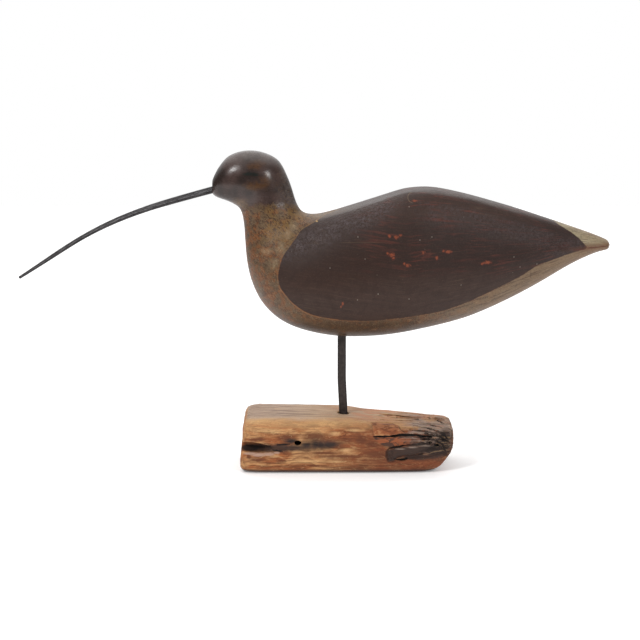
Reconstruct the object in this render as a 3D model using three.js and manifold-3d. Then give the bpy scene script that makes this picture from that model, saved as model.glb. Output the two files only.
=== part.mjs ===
// A shorebird decoy: a curlew carved from one piece of wood, with a long forged bill driven into
// its head. It stands on a single iron leg, let into a block of driftwood.
// Millimetres, +Z up, the bill towards -X. The origin is on the underside of the driftwood,
// straight below the foot of the leg.
import * as THREE from "three";
import { mergeVertices } from "three/addons/utils/BufferGeometryUtils.js";
import Module from "manifold-3d";

const wasm = await Module();
wasm.setup();

// The carving
const bodyLength = 364; // front of the head to the tip of the tail
const bodyWidth = 98;
const headWidth = 42;
const neckWidth = 40;
const tailWidth = 32; // a little way in from the tip

// The bill, a round bar drawn out to a blunt point
const billLength = 196.5; // along its curve, outside the head
const billInHead = 20;
const billThickness = [6.4, 5.9, 5.2, 4.4, 3.95, 2.6]; // from the head to the tip, in equal steps
const billDroop = [14.8, 16.9, 24.3, 32.6, 32.3]; // degrees below level, the same way

// The leg, a square bar with its corners hammered down
const legBar = 7.9; // across the flats
const legCorner = 1.7; // taken off each corner
const legLength = 71.1; // between the driftwood and the belly
const legInBody = 36;
const legInBase = 26;
const legCrook = 1.4; // how far the bird's end stands off the foot, towards the bill

// The driftwood
const baseLength = 196;
const baseDepth = 84;
const baseHeight = 50; // at the sawn end
const baseBehindLeg = 93.5; // from the leg to the sawn end, under the bird's breast
const nailHoleWidth = 6;
const nailHoleHeight = 3.6;
const nailHoleDepth = 16;
const knotThickness = 11.5; // the stub of a branch, at its thick end
const knotLength = 43;

const clearance = 0.3; // between iron and the wood round it

const bodyRingPoints = 44;
const ringsPerStation = 2;
const baseRingPoints = 40;
const barRingPoints = 12;

// Curves through hand-chosen values

// A smooth value between stations: values[i] at t = i, rounded between them (Catmull-Rom).
function through(values, t) {
  const last = values.length - 1;
  const i = Math.min(Math.floor(t), last - 1);
  const f = t - i;
  const [p0, p1, p2, p3] = [i - 1, i, i + 1, i + 2].map(
    (k) => values[THREE.MathUtils.clamp(k, 0, last)],
  );
  const tangent1 = (p2 - p0) / 2;
  const tangent2 = (p3 - p1) / 2;
  const bend = 2 * (p1 - p2) + tangent1 + tangent2;
  const rise = 3 * (p2 - p1) - 2 * tangent1 - tangent2;
  return p1 + f * (tangent1 + f * (rise + f * bend));
}

// Rings and the solids through them

// A ring of points round a centre. Each [across, up] pair is laid along the unit vectors u and v,
// and u x v points the way the loft runs.
function ring(centre, u, v, pairs) {
  return pairs.map(([across, up]) =>
    centre.clone().addScaledVector(u, across).addScaledVector(v, up),
  );
}

// Points of a rounded section, half wide each way, with its heights over and under the widest line.
// fullness(c, s) gives two numbers for the quarter that the point is in: how full it is at the top
// or bottom, and how full at the side. 2 and 2 is an ellipse, more is boxier, and less comes to an
// edge.
function roundedSection(count, half, above, below, fullness) {
  return Array.from({ length: count }, (_, i) => {
    const angle = (2 * Math.PI * i) / count;
    const [c, s] = [Math.cos(angle), Math.sin(angle)];
    const [pole, side] = fullness(c, s);
    const height = s >= 0 ? above : below;
    return [
      half * Math.sign(c) * Math.abs(c) ** (2 / pole),
      height * Math.sign(s) * Math.abs(s) ** (2 / side),
    ];
  });
}

const evenly = (full) => () => [full, full];

// A closed solid through the rings, each end drawn to a single point.
function loft(start, rings, end) {
  const count = rings[0].length;
  const points = [start, ...rings.flat(), end];
  const at = (j, i) => 1 + j * count + (i % count);
  const index = [];
  for (let i = 0; i < count; i++) {
    index.push(0, at(0, i + 1), at(0, i));
    index.push(points.length - 1, at(rings.length - 1, i), at(rings.length - 1, i + 1));
  }
  for (let j = 0; j + 1 < rings.length; j++)
    for (let i = 0; i < count; i++) {
      index.push(at(j, i), at(j, i + 1), at(j + 1, i));
      index.push(at(j, i + 1), at(j + 1, i + 1), at(j + 1, i));
    }
  return new THREE.BufferGeometry().setFromPoints(points).setIndex(index);
}

function toSolid(geometry) {
  const bare = new THREE.BufferGeometry().setAttribute(
    "position",
    geometry.getAttribute("position"),
  );
  const merged = mergeVertices(bare.setIndex(geometry.getIndex()), 1e-4);
  return new wasm.Manifold(
    new wasm.Mesh({
      numProp: 3,
      vertProperties: merged.getAttribute("position").array,
      triVerts: new Uint32Array(merged.getIndex().array),
    }),
  );
}

function toGeometry(solid) {
  const mesh = solid.getMesh();
  const position = new THREE.BufferAttribute(mesh.vertProperties, mesh.numProp);
  return new THREE.BufferGeometry()
    .setAttribute("position", position)
    .setIndex(new THREE.BufferAttribute(mesh.triVerts, 1));
}

// The driftwood: sections from the sawn end to the worn one. x, top and bottom are shares of the
// length and the height, half is a share of half the depth. back and front say how square the two
// upper edges are. lean tips a section off upright, in degrees. A bottom under zero is planed flat.

const soleFullness = 7;
const baseStations = [
  { x: 0.0, half: 0.86, top: 0.867, bottom: 0.1, back: 5, front: 4, lean: 4 },
  { x: 0.006, half: 0.93, top: 0.943, bottom: 0.04, back: 6, front: 4.2, lean: 4 },
  { x: 0.03, half: 0.975, top: 1.003, bottom: 0.0, back: 7.5, front: 4.5, lean: 4 },
  { x: 0.09, half: 1, top: 1.017, bottom: -0.02, back: 8, front: 4.5, lean: 3 },
  { x: 0.25, half: 1, top: 1.007, bottom: -0.02, back: 8, front: 4.5, lean: 0 },
  { x: 0.45, half: 1, top: 0.986, bottom: -0.02, back: 8, front: 4.5, lean: 0 },
  { x: 0.6, half: 0.985, top: 0.923, bottom: -0.02, back: 7, front: 4.2, lean: 0 },
  { x: 0.75, half: 0.96, top: 0.874, bottom: -0.02, back: 6.5, front: 4, lean: 0 },
  { x: 0.86, half: 0.92, top: 0.839, bottom: -0.01, back: 6, front: 3.8, lean: 0 },
  { x: 0.925, half: 0.875, top: 0.82, bottom: 0.07, back: 5.5, front: 3.6, lean: 0 },
  { x: 0.97, half: 0.82, top: 0.8, bottom: 0.27, back: 5, front: 3.4, lean: 0 },
  { x: 0.99, half: 0.73, top: 0.76, bottom: 0.42, back: 4.5, front: 3.2, lean: 0 },
];
const sawnEnd = 0.52; // heights of the two ends' furthest points, as shares
const wornEnd = 0.6;

const alongBase = (share) => share * baseLength - baseBehindLeg;
const acrossBase = (share) => (share * baseDepth) / 2; // -1 is the front, 1 the back
const upBase = (share) => share * baseHeight;
const baseValue = (name, t) => through(baseStations.map((s) => s[name]), t);

// Height of the driftwood's top at the leg, on its centre line.
function findBaseTopAtLeg() {
  const fine = 40;
  let t = 0;
  while (alongBase(baseValue("x", t)) < 0) t += 1 / fine;
  return upBase(baseValue("top", t));
}

const baseTopAtLeg = findBaseTopAtLeg();

function driftwoodRing(t) {
  const top = upBase(baseValue("top", t));
  const bottom = upBase(baseValue("bottom", t));
  const tall = (top - bottom) / 2;
  const lean = THREE.MathUtils.degToRad(baseValue("lean", t));
  const [back, front] = [baseValue("back", t), baseValue("front", t)];
  return ring(
    new THREE.Vector3(alongBase(baseValue("x", t)), 0, bottom + tall),
    new THREE.Vector3(0, 1, 0),
    new THREE.Vector3(Math.sin(lean), 0, Math.cos(lean)),
    roundedSection(baseRingPoints, acrossBase(baseValue("half", t)), tall, tall, (c, s) => {
      const full = s < 0 ? soleFullness : c < 0 ? front : back;
      return [full, full];
    }),
  );
}

function driftwoodBlock() {
  const steps = (baseStations.length - 1) * ringsPerStation;
  const rings = Array.from({ length: steps + 1 }, (_, i) => driftwoodRing(i / ringsPerStation));
  return loft(
    new THREE.Vector3(alongBase(0), 0, upBase(sawnEnd)),
    rings,
    new THREE.Vector3(alongBase(1), 0, upBase(wornEnd)),
  );
}

// A spindle from one point to another, oval across: half its width along y, half its height along z.
// swell gives its thickness along the way.
function spindle(from, to, halfY, halfZ, swell) {
  const steps = 10;
  const rings = [];
  for (let i = 1; i < steps; i++) {
    const thick = swell(i / steps);
    const high = halfZ * thick;
    rings.push(
      ring(
        from.clone().lerp(to, i / steps),
        new THREE.Vector3(0, 1, 0),
        new THREE.Vector3(0, 0, 1),
        roundedSection(barRingPoints, halfY * thick, high, high, evenly(2)),
      ),
    );
  }
  return loft(from, rings, to);
}

// A point in or on the driftwood, from its shares.
const inDriftwood = (x, y, z) => new THREE.Vector3(alongBase(x), acrossBase(y), upBase(z));
const bulge = (share) => Math.sin(Math.PI * share);

// A hollow rotted out of the sawn end, running along the front towards the nail hole.
function rotHollow() {
  return spindle(
    inDriftwood(-0.1, -0.98, 0.51),
    inDriftwood(0.165, -1.02, 0.488),
    acrossBase(0.24),
    upBase(0.095),
    bulge,
  );
}

function nailHole() {
  const mouth = inDriftwood(0.264, -1, 0.575);
  const hole = new THREE.CylinderGeometry(0.5, 0.5, 1, barRingPoints);
  hole.deleteAttribute("normal");
  hole.deleteAttribute("uv");
  hole.scale(nailHoleWidth, 2 * nailHoleDepth, nailHoleHeight);
  return mergeVertices(hole.translate(mouth.x, mouth.y, mouth.z));
}

// The long split under the front edge, and the one along the top, both towards the worn end.
function frontSplit() {
  return spindle(
    inDriftwood(0.615, -1, 0.699),
    inDriftwood(0.9, -0.92, 0.727),
    acrossBase(0.2),
    upBase(0.017),
    bulge,
  );
}

function topSplit() {
  return spindle(
    inDriftwood(0.6, 0.28, 0.925),
    inDriftwood(0.86, 0.16, 0.82),
    acrossBase(0.044),
    upBase(0.125),
    bulge,
  );
}

// The stub of a branch, lying along the front near the worn end: blunt at its thick end and
// running back into the block at the other.
function knot() {
  const blunt = 0.12; // share of its length that the rounded end takes
  const thin = 0.42; // thickness at the far end, as a share
  const from = inDriftwood(0.69, -0.97, 0.336);
  const to = from.clone().add(new THREE.Vector3(knotLength, acrossBase(0.12), upBase(0.19)));
  return spindle(from, to, 0.42 * knotThickness, 0.5 * knotThickness, (share) =>
    share < blunt
      ? THREE.MathUtils.lerp(0.8, 1, share / blunt)
      : THREE.MathUtils.mapLinear(share, blunt, 1, 1, thin),
  );
}

// The carving: stations from the front of the head, down the neck and along to the tail.
// back and belly are the two ends of a section on the centre line, as percentages of the body's
// length along and above the point where the leg enters the belly. half is half the width there,
// widest is how far up the section the widest line is, keel its fullness at the bottom, and side its
// fullness at the widest line, which is an edge along the tail.

const ofHead = (share) => (share * headWidth) / 2;
const ofNeck = (share) => (share * neckWidth) / 2;
const ofBody = (share) => (share * bodyWidth) / 2;
const ofTail = (share) => (share * tailWidth) / 2;

const headFront = [-32.4, 39.6];
const tailTip = [67.3, 23.2];
const stations = [
  { back: [-31.3, 41.85], belly: [-32.55, 37.4], half: ofHead(0.36), widest: 0.5, keel: 2, side: 2 },
  { back: [-28.9, 45.05], belly: [-32.5, 36.2], half: ofHead(0.63), widest: 0.5, keel: 2, side: 2 },
  { back: [-25.9, 46.5], belly: [-31.8, 35.5], half: ofHead(0.82), widest: 0.5, keel: 2.1, side: 2 },
  { back: [-22.7, 46.9], belly: [-30.5, 34.9], half: ofHead(0.93), widest: 0.5, keel: 2.2, side: 2 },
  { back: [-19.3, 46.3], belly: [-28.7, 34.3], half: ofHead(0.99), widest: 0.5, keel: 2.2, side: 2 },
  { back: [-16.0, 44.6], belly: [-27.0, 33.5], half: ofHead(1), widest: 0.52, keel: 2.1, side: 2 },
  { back: [-14.2, 41.6], belly: [-25.6, 32.45], half: ofHead(0.96), widest: 0.52, keel: 2, side: 2 },
  { back: [-12.8, 38.2], belly: [-24.8, 30.2], half: ofNeck(0.97), widest: 0.5, keel: 2, side: 2 },
  { back: [-11.7, 34.6], belly: [-24.4, 26.5], half: ofNeck(1), widest: 0.5, keel: 2, side: 2 },
  { back: [-10.5, 32.2], belly: [-24.12, 21.6], half: ofNeck(1.2), widest: 0.48, keel: 2, side: 2 },
  { back: [-8.9, 31.2], belly: [-23.15, 15.6], half: ofBody(0.63), widest: 0.46, keel: 2.1, side: 2 },
  { back: [-6.6, 31.0], belly: [-20.55, 9.45], half: ofBody(0.78), widest: 0.45, keel: 2.1, side: 2 },
  { back: [-3.6, 31.45], belly: [-15.9, 4.6], half: ofBody(0.89), widest: 0.45, keel: 2.1, side: 2 },
  { back: [0.5, 32.55], belly: [-9.4, 1.7], half: ofBody(0.96), widest: 0.46, keel: 2.1, side: 2 },
  { back: [5.9, 34.13], belly: [-1.4, 0.22], half: ofBody(0.99), widest: 0.47, keel: 2.1, side: 2 },
  { back: [12.5, 36.15], belly: [7.0, 0.17], half: ofBody(1), widest: 0.48, keel: 2.1, side: 2 },
  { back: [16.6, 37.25], belly: [14.0, 0.9], half: ofBody(0.985), widest: 0.48, keel: 2.1, side: 2 },
  { back: [20.2, 37.7], belly: [19.6, 2.0], half: ofBody(0.95), widest: 0.48, keel: 2.1, side: 2 },
  { back: [23.9, 37.5], belly: [25.1, 3.2], half: ofBody(0.89), widest: 0.48, keel: 2.05, side: 2 },
  { back: [29.4, 36.4], belly: [32.0, 5.18], half: ofBody(0.79), widest: 0.49, keel: 2, side: 1.95 },
  { back: [36.3, 34.6], belly: [39.1, 8.22], half: ofBody(0.68), widest: 0.5, keel: 2, side: 1.85 },
  { back: [43.0, 32.66], belly: [45.2, 11.28], half: ofBody(0.57), widest: 0.51, keel: 2, side: 1.65 },
  { back: [49.9, 30.43], belly: [51.0, 14.55], half: ofBody(0.47), widest: 0.51, keel: 2, side: 1.4 },
  { back: [56.2, 28.4], belly: [56.5, 17.9], half: ofTail(1), widest: 0.44, keel: 2, side: 1.2 },
  { back: [60.9, 26.78], belly: [60.9, 20.15], half: ofTail(0.75), widest: 0.37, keel: 2, side: 1.15 },
  { back: [64.1, 25.6], belly: [64.1, 21.45], half: ofTail(0.58), widest: 0.32, keel: 2, side: 1.25 },
  { back: [66.6, 24.5], belly: [66.6, 22.1], half: ofTail(0.42), widest: 0.38, keel: 2, side: 1.6 },
];

// How full each station is at the top: the head and neck are round, the back is flatter.
const crests = [
  2, 2, 2, 2, 2, 2, 2, 2, 2, 2, 2.2, 2.6, 3.1, 3.6, 4, 4, 4, 4, 4, 3.9, 3.6, 3.3, 3, 2.7, 2.4, 2.3, 2.2,
];

const bellyHeight = baseTopAtLeg + legLength;

// A point of the carving's centre line, from its percentages.
function carvedPoint([along, up]) {
  return new THREE.Vector3(
    (along / 100) * bodyLength - legCrook,
    0,
    bellyHeight + (up / 100) * bodyLength,
  );
}

const carvedValue = (name, t) => through(stations.map((s) => s[name]), t);

// A point between the stations' own, on the back or on the belly.
function onCentreLine(name, t) {
  const points = stations.map((s) => carvedPoint(s[name]));
  return new THREE.Vector3(
    through(points.map((p) => p.x), t),
    0,
    through(points.map((p) => p.z), t),
  );
}

function carvedRing(t) {
  const belly = onCentreLine("belly", t);
  const up = onCentreLine("back", t).sub(belly);
  const height = up.length();
  const widest = carvedValue("widest", t);
  const centre = belly.clone().addScaledVector(up, widest);
  const [keel, side] = [carvedValue("keel", t), carvedValue("side", t)];
  const crest = through(crests, t);
  return ring(
    centre,
    new THREE.Vector3(0, 1, 0),
    up.normalize(),
    roundedSection(
      bodyRingPoints,
      carvedValue("half", t),
      (1 - widest) * height,
      widest * height,
      (c, s) => [s < 0 ? keel : crest, side],
    ),
  );
}

function carvedBody() {
  const steps = (stations.length - 1) * ringsPerStation;
  const rings = Array.from({ length: steps + 1 }, (_, i) => carvedRing(i / ringsPerStation));
  return loft(carvedPoint(headFront), rings, carvedPoint(tailTip));
}

// The bill

const billSeat = carvedPoint([-32.35, 37.06]); // where its centre line comes out of the head
const billFullness = 1.7; // its filed section, between a lozenge and a round
const billSteps = 34;

const billValue = (values, share) => through(values, share * (values.length - 1));
const billHeading = (share) => THREE.MathUtils.degToRad(billValue(billDroop, share));

function bill(grow) {
  const rings = [];
  const embedded = billInHead + grow;
  const stepLength = billLength / billSteps;
  const across = new THREE.Vector3(0, 1, 0);
  const direction = (heading) =>
    new THREE.Vector3(-Math.cos(heading), 0, -Math.sin(heading));
  const addRing = (centre, heading, thickness) => {
    const half = thickness / 2 + grow;
    const up = direction(heading).cross(across).negate();
    const section = roundedSection(barRingPoints, half, half, half, evenly(billFullness));
    rings.push(ring(centre, up, across, section));
  };
  const root = billSeat.clone().addScaledVector(direction(billHeading(0)), -embedded);
  addRing(root, billHeading(0), billThickness[0]);
  const centre = billSeat.clone();
  addRing(centre, billHeading(0), billThickness[0]);
  for (let i = 1; i <= billSteps; i++) {
    centre.addScaledVector(direction(billHeading((i - 0.5) / billSteps)), stepLength);
    addRing(centre, billHeading(i / billSteps), billValue(billThickness, i / billSteps));
  }
  const point = centre.clone().addScaledVector(direction(billHeading(1)), billThickness.at(-1) / 3);
  return loft(root, rings, point);
}

// The leg

// The bar runs straight out of the bird and bends back over the foot in its lower half.
function legOffset(z) {
  const bendFrom = baseTopAtLeg;
  const bendTo = baseTopAtLeg + 0.5 * legLength;
  return -legCrook * THREE.MathUtils.smoothstep(z, bendFrom, bendTo);
}

function legSection(grow) {
  const flat = legBar / 2 + grow;
  const inner = flat - legCorner;
  return [
    [flat, -inner],
    [flat, inner],
    [inner, flat],
    [-inner, flat],
    [-flat, inner],
    [-flat, -inner],
    [-inner, -flat],
    [inner, -flat],
  ];
}

function leg(grow) {
  const low = baseTopAtLeg - legInBase - grow;
  const high = bellyHeight + legInBody + grow;
  const bends = 8;
  const heights = [low];
  for (let i = 0; i <= bends; i++)
    heights.push(baseTopAtLeg + (0.5 * legLength * i) / bends);
  heights.push(high);
  const centre = (z) => new THREE.Vector3(legOffset(z), 0, z);
  const rings = heights.map((z) =>
    ring(
      centre(z),
      new THREE.Vector3(1, 0, 0),
      new THREE.Vector3(0, 1, 0),
      legSection(grow),
    ),
  );
  return loft(centre(low), rings, centre(high));
}

// The pieces, with their seats cut where one enters another

function cutFrom(solid, ...cutters) {
  return cutters.reduce((left, cutter) => left.subtract(toSolid(cutter)), solid);
}

const bodySolid = cutFrom(toSolid(carvedBody()), bill(clearance), leg(clearance));
const planed = toSolid(driftwoodBlock())
  .add(toSolid(knot()))
  .trimByPlane([0, 0, 1], 0);
const baseSolid = cutFrom(
  planed,
  rotHollow(),
  nailHole(),
  frontSplit(),
  topSplit(),
  leg(clearance),
);

const paint = new THREE.MeshStandardMaterial({ color: 0x43332c, roughness: 0.45 });
const iron = new THREE.MeshStandardMaterial({ color: 0x2b2726, roughness: 0.55, metalness: 0.6 });
const blackIron = new THREE.MeshStandardMaterial({ color: 0x353433, roughness: 0.5, metalness: 0.6 });
const driftwood = new THREE.MeshStandardMaterial({ color: 0xa06c3c, roughness: 0.8 });

function piece(name, geometry, material) {
  const mesh = new THREE.Mesh(geometry, material);
  mesh.name = name;
  mesh.geometry.computeVertexNormals();
  return mesh;
}

const decoy = new THREE.Group();
decoy.add(
  piece("carved_body", toGeometry(bodySolid), paint),
  piece("bill", bill(0), blackIron),
  piece("leg", leg(0), iron),
  piece("driftwood_base", toGeometry(baseSolid), driftwood),
);

export default decoy;
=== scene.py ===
import math
import bmesh
import bpy
import numpy as np
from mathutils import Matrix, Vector, kdtree
from mathutils.bvhtree import BVHTree


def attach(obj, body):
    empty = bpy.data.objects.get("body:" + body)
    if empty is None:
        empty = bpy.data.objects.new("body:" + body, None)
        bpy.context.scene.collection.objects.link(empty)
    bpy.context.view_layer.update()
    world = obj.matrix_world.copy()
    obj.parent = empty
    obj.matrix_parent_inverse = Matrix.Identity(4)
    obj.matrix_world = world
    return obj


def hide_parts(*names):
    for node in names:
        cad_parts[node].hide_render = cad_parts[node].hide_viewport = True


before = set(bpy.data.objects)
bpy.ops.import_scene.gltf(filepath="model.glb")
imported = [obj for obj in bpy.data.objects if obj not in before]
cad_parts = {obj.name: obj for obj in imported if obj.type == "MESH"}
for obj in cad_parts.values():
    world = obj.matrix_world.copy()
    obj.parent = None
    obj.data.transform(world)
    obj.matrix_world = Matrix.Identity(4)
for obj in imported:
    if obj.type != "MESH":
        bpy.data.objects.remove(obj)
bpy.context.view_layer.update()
mm = 0.001
print("frame loaded")


# node helpers, good for shader trees and for geometry trees

# a node's output: sums, products and powers of it become math nodes
class Field:
    def __init__(self, socket):
        self.socket = socket
        self.tree = socket.id_data
        self.isVector = socket.type in ("VECTOR", "RGBA")

    def __add__(self, other):
        return calc("ADD", self, other)

    def __sub__(self, other):
        return calc("SUBTRACT", self, other)

    def __rsub__(self, other):
        return calc("SUBTRACT", other, self)

    def __mul__(self, other):
        return calc("MULTIPLY", self, other)

    def __truediv__(self, other):
        return calc("DIVIDE", self, other)

    def __rtruediv__(self, other):
        return calc("DIVIDE", other, self)

    def __pow__(self, other):
        return calc("POWER", self, other)

    def __abs__(self):
        return calc("ABSOLUTE", self)


def feed(socket, value):
    source = getattr(value, "socket", value)
    if isinstance(source, bpy.types.NodeSocket):
        socket.id_data.links.new(source, socket)
    else:
        socket.default_value = value


def addNode(tree, kind, inputs=None, **options):
    node = tree.nodes.new(kind)
    for name, value in options.items():
        setattr(node, name, value)
    for key, value in (inputs or {}).items():
        feed(node.inputs[key], value)
    return node


def fromNode(tree, kind, inputs=None, output=0, **options):
    return Field(addNode(tree, kind, inputs, **options).outputs[output])


def calc(operation, *values):
    fields = [value for value in values if isinstance(value, Field)]
    vectors = [value for value in values if isinstance(value, tuple) or getattr(value, "isVector", False)]
    kind = "ShaderNodeVectorMath" if vectors else "ShaderNodeMath"
    return fromNode(fields[0].tree, kind, dict(enumerate(values)), operation=operation)


def lengthOf(vector):
    return fromNode(vector.tree, "ShaderNodeVectorMath", {0: vector}, "Value", operation="LENGTH")


def ease(value, low, high, start=0.0, end=1.0):
    values = {0: value, 1: low, 2: high, 3: start, 4: end}
    return fromNode(value.tree, "ShaderNodeMapRange", values, interpolation_type="SMOOTHSTEP")


def noise(vector, scale, detail=2.0, roughness=0.5, distortion=0.0, output=0):
    values = {"Vector": vector, "Scale": scale, "Detail": detail, "Roughness": roughness}
    values["Distortion"] = distortion
    return fromNode(vector.tree, "ShaderNodeTexNoise", values, output)


def blend(factor, under, over):
    return fromNode(factor.tree, "ShaderNodeMix", {0: factor, 6: under, 7: over}, 2, data_type="RGBA")


def blendValue(factor, under, over):
    return fromNode(factor.tree, "ShaderNodeMix", {0: factor, 2: under, 3: over})


# lays named shades over a colour, each as strongly as its mask and its amount say
def coated(under, shades, layers):
    for mask, amount, over in layers:
        under = blend(mask * amount, under, shades[over] if isinstance(over, str) else over)
    return under


def axes(vector):
    return [Field(socket) for socket in addNode(vector.tree, "ShaderNodeSeparateXYZ", {0: vector}).outputs]


def joined(*parts):
    tree = [part.tree for part in parts if isinstance(part, Field)][0]
    return fromNode(tree, "ShaderNodeCombineXYZ", dict(enumerate(parts)))


def strongest(masks):
    total = masks[0]
    for mask in masks[1:]:
        total = calc("MAXIMUM", total, mask)
    return total


def colour(red, green, blue):
    shares = [c / 255 for c in (red, green, blue)]
    linear = [share / 12.92 if share <= 0.04 else ((share + 0.055) / 1.055) ** 2.4 for share in shares]
    return (*linear, 1.0)


# a socket's type is read from the value it starts with, or named where it has none
def socketType(value):
    if isinstance(value, str):
        return "NodeSocket" + value
    if isinstance(value, (int, float)):
        return "NodeSocketInt" if isinstance(value, int) else "NodeSocketFloat"
    return "NodeSocketVector" if len(value) == 3 else "NodeSocketColor"


def newGroup(name, inputs, outputs, kind="ShaderNodeTree"):
    tree = bpy.data.node_groups.new(name, kind)
    for title, value in inputs.items():
        socket = tree.interface.new_socket(title, in_out="INPUT", socket_type=socketType(value))
        if not isinstance(value, str):
            socket.default_value = value
    for title, typeName in outputs.items():
        tree.interface.new_socket(title, in_out="OUTPUT", socket_type=socketType(typeName))
    start = tree.nodes.new("NodeGroupInput")
    given = {socket.name: Field(socket) for socket in start.outputs if socket.name}
    result = tree.nodes.new("NodeGroupOutput").inputs
    return tree, given, result


# places a group; its inputs are given by name, and one of them is always Vector
def useGroup(group, **inputs):
    node = addNode(inputs["Vector"].tree, "ShaderNodeGroup", node_tree=group)
    for key, value in inputs.items():
        feed(node.inputs[key], value)
    return {socket.name: Field(socket) for socket in node.outputs}


# effects that more than one finish uses

def makeSoftSpot():
    inputs = {"Vector": (0, 0, 0), "Centre": (0, 0, 0), "Size": (0.01, 0.01, 0.01)}
    inputs.update({"Ragged": 0.0, "Softness": 0.3})
    tree, given, result = newGroup("softSpot", inputs, {"Mask": "Float"})
    reach = lengthOf((given["Vector"] - given["Centre"]) / given["Size"]) + given["Ragged"]
    feed(result["Mask"], ease(reach, 1.0 - given["Softness"], 1.0, 1.0, 0.0))
    return tree


def makeFibreStreaks():
    inputs = {"Vector": (0, 0, 0), "Length": 0.04, "Width": 0.0015, "Wander": 0.4}
    tree, given, result = newGroup("fibreStreaks", inputs, {"Streaks": "Float"})
    along = 1.0 / given["Length"]
    across = 1.0 / given["Width"]
    wander = noise(given["Vector"], 14.0, output="Color") - (0.5, 0.5, 0.5)
    bend = wander * joined(0.0, given["Wander"], given["Wander"]) * (0.01, 0.01, 0.01)
    stretched = (given["Vector"] + bend) * joined(along, across, across)
    feed(result["Streaks"], noise(stretched, 1.0, 3.0, 0.55))
    return tree


def makeRubbedEdge():
    inputs = {"Vector": (0, 0, 0), "Ridge": 0.0, "Start": 0.2, "Full": 0.5, "Breakup": 0.3}
    tree, given, result = newGroup("rubbedEdge", inputs, {"Mask": "Float"})
    broken = noise(given["Vector"], 320.0, 3.0, 0.65) - 0.5
    height = broken * given["Breakup"] + given["Ridge"]
    feed(result["Mask"], ease(height, given["Start"], given["Full"]))
    return tree


def makeIronSkin():
    black = (0, 0, 0, 1)
    inputs = {"Vector": (0, 0, 0), "Dark": black, "Light": black, "Rust": black, "Rusted": 0.3}
    outputs = {"Color": "Color", "Roughness": "Float", "Height": "Float"}
    tree, given, result = newGroup("ironSkin", inputs, outputs)
    scale = noise(given["Vector"], 260.0, 4.0, 0.6)
    fine = noise(given["Vector"], 1500.0, 3.0, 0.6)
    patches = ease(scale, 0.38, 0.62)
    pits = ease(fine, 0.28, 0.45, 1.0, 0.0)
    skin = blend(patches, given["Dark"], given["Light"])
    skin = blend(pits * 0.5, skin, given["Dark"])
    limit = given["Rusted"] * -0.35 + 0.78
    rust = ease(noise(given["Vector"], 420.0, 5.0, 0.7, 0.4), limit, limit + 0.08)
    feed(result["Color"], blend(rust, skin, given["Rust"]))
    feed(result["Roughness"], patches * 0.12 + rust * 0.3 + 0.42)
    feed(result["Height"], scale * 0.25 + fine * 0.06 - pits * 0.03)
    return tree


softSpot = makeSoftSpot()
fibreStreaks = makeFibreStreaks()
rubbedEdge = makeRubbedEdge()
ironSkin = makeIronSkin()


def streaksAlong(flow, length, width, wander):
    return useGroup(fibreStreaks, Vector=flow, Length=length, Width=width, Wander=wander)["Streaks"]


def rubbedWhere(where, ridge, start, full, breakup):
    return useGroup(rubbedEdge, Vector=where, Ridge=ridge, Start=start, Full=full, Breakup=breakup)["Mask"]


# soft spots at a list of places, each a middle and half sizes in mm, their edges broken by one noise
def spots(vector, places, ragged, scale, softness, grow=1.0):
    broken = (noise(vector, scale, 3.0, 0.6) - 0.5) * (2 * ragged)
    masks = []
    for middle, half in places:
        centre = [c * mm for c in middle]
        size = [c * mm * grow for c in half]
        spot = useGroup(softSpot, Vector=vector, Centre=centre, Size=size, Ragged=broken, Softness=softness)
        masks.append(spot["Mask"])
    return strongest(masks)


def newFinish(name, **glossValues):
    finish = bpy.data.materials.new(name)
    finish.use_nodes = True
    tree = finish.node_tree
    shader = tree.nodes["Principled BSDF"]
    for title, value in glossValues.items():
        shader.inputs[title.replace("_", " ")].default_value = value
    return finish, shader, fromNode(tree, "ShaderNodeTexCoord", output="Object")


def attribute(tree, name, output="Fac"):
    return fromNode(tree, "ShaderNodeAttribute", None, output, attribute_name=name)


def dress(shader, tone, rough, height, strength):
    feed(shader.inputs["Base Color"], tone)
    feed(shader.inputs["Roughness"], rough)
    bump = {"Strength": strength, "Distance": mm, "Height": height}
    feed(shader.inputs["Normal"], fromNode(tone.tree, "ShaderNodeBump", bump))


# mesh helpers

def addObject(name, data):
    thing = bpy.data.objects.new(name, data)
    bpy.context.scene.collection.objects.link(thing)
    return thing


# turns what the modifiers make into the object's own plain mesh
def applied(thing):
    graph = bpy.context.evaluated_depsgraph_get()
    mesh = bpy.data.meshes.new_from_object(thing.evaluated_get(graph))
    thing.modifiers.clear()
    thing.data = mesh


def pointsOf(mesh, what="co"):
    flat = np.empty(len(mesh.vertices) * 3)
    mesh.vertices.foreach_get(what, flat)
    return flat.reshape(-1, 3)


def normalsOf(mesh):
    return pointsOf(mesh, "normal")


def movePoints(mesh, points):
    mesh.vertices.foreach_set("co", points.ravel())
    mesh.update()


# keeps a value or a vector for each point of a mesh
def store(mesh, name, values):
    values = np.asarray(values, dtype=np.float32)
    flat = values.ndim == 1
    layer = mesh.attributes.new(name, "FLOAT" if flat else "FLOAT_VECTOR", "POINT")
    layer.data.foreach_set("value" if flat else "vector", values.ravel())


def surfaceOf(mesh):
    corners = [v.co.copy() for v in mesh.vertices]
    return BVHTree.FromPolygons(corners, [tuple(p.vertices) for p in mesh.polygons])


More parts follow.
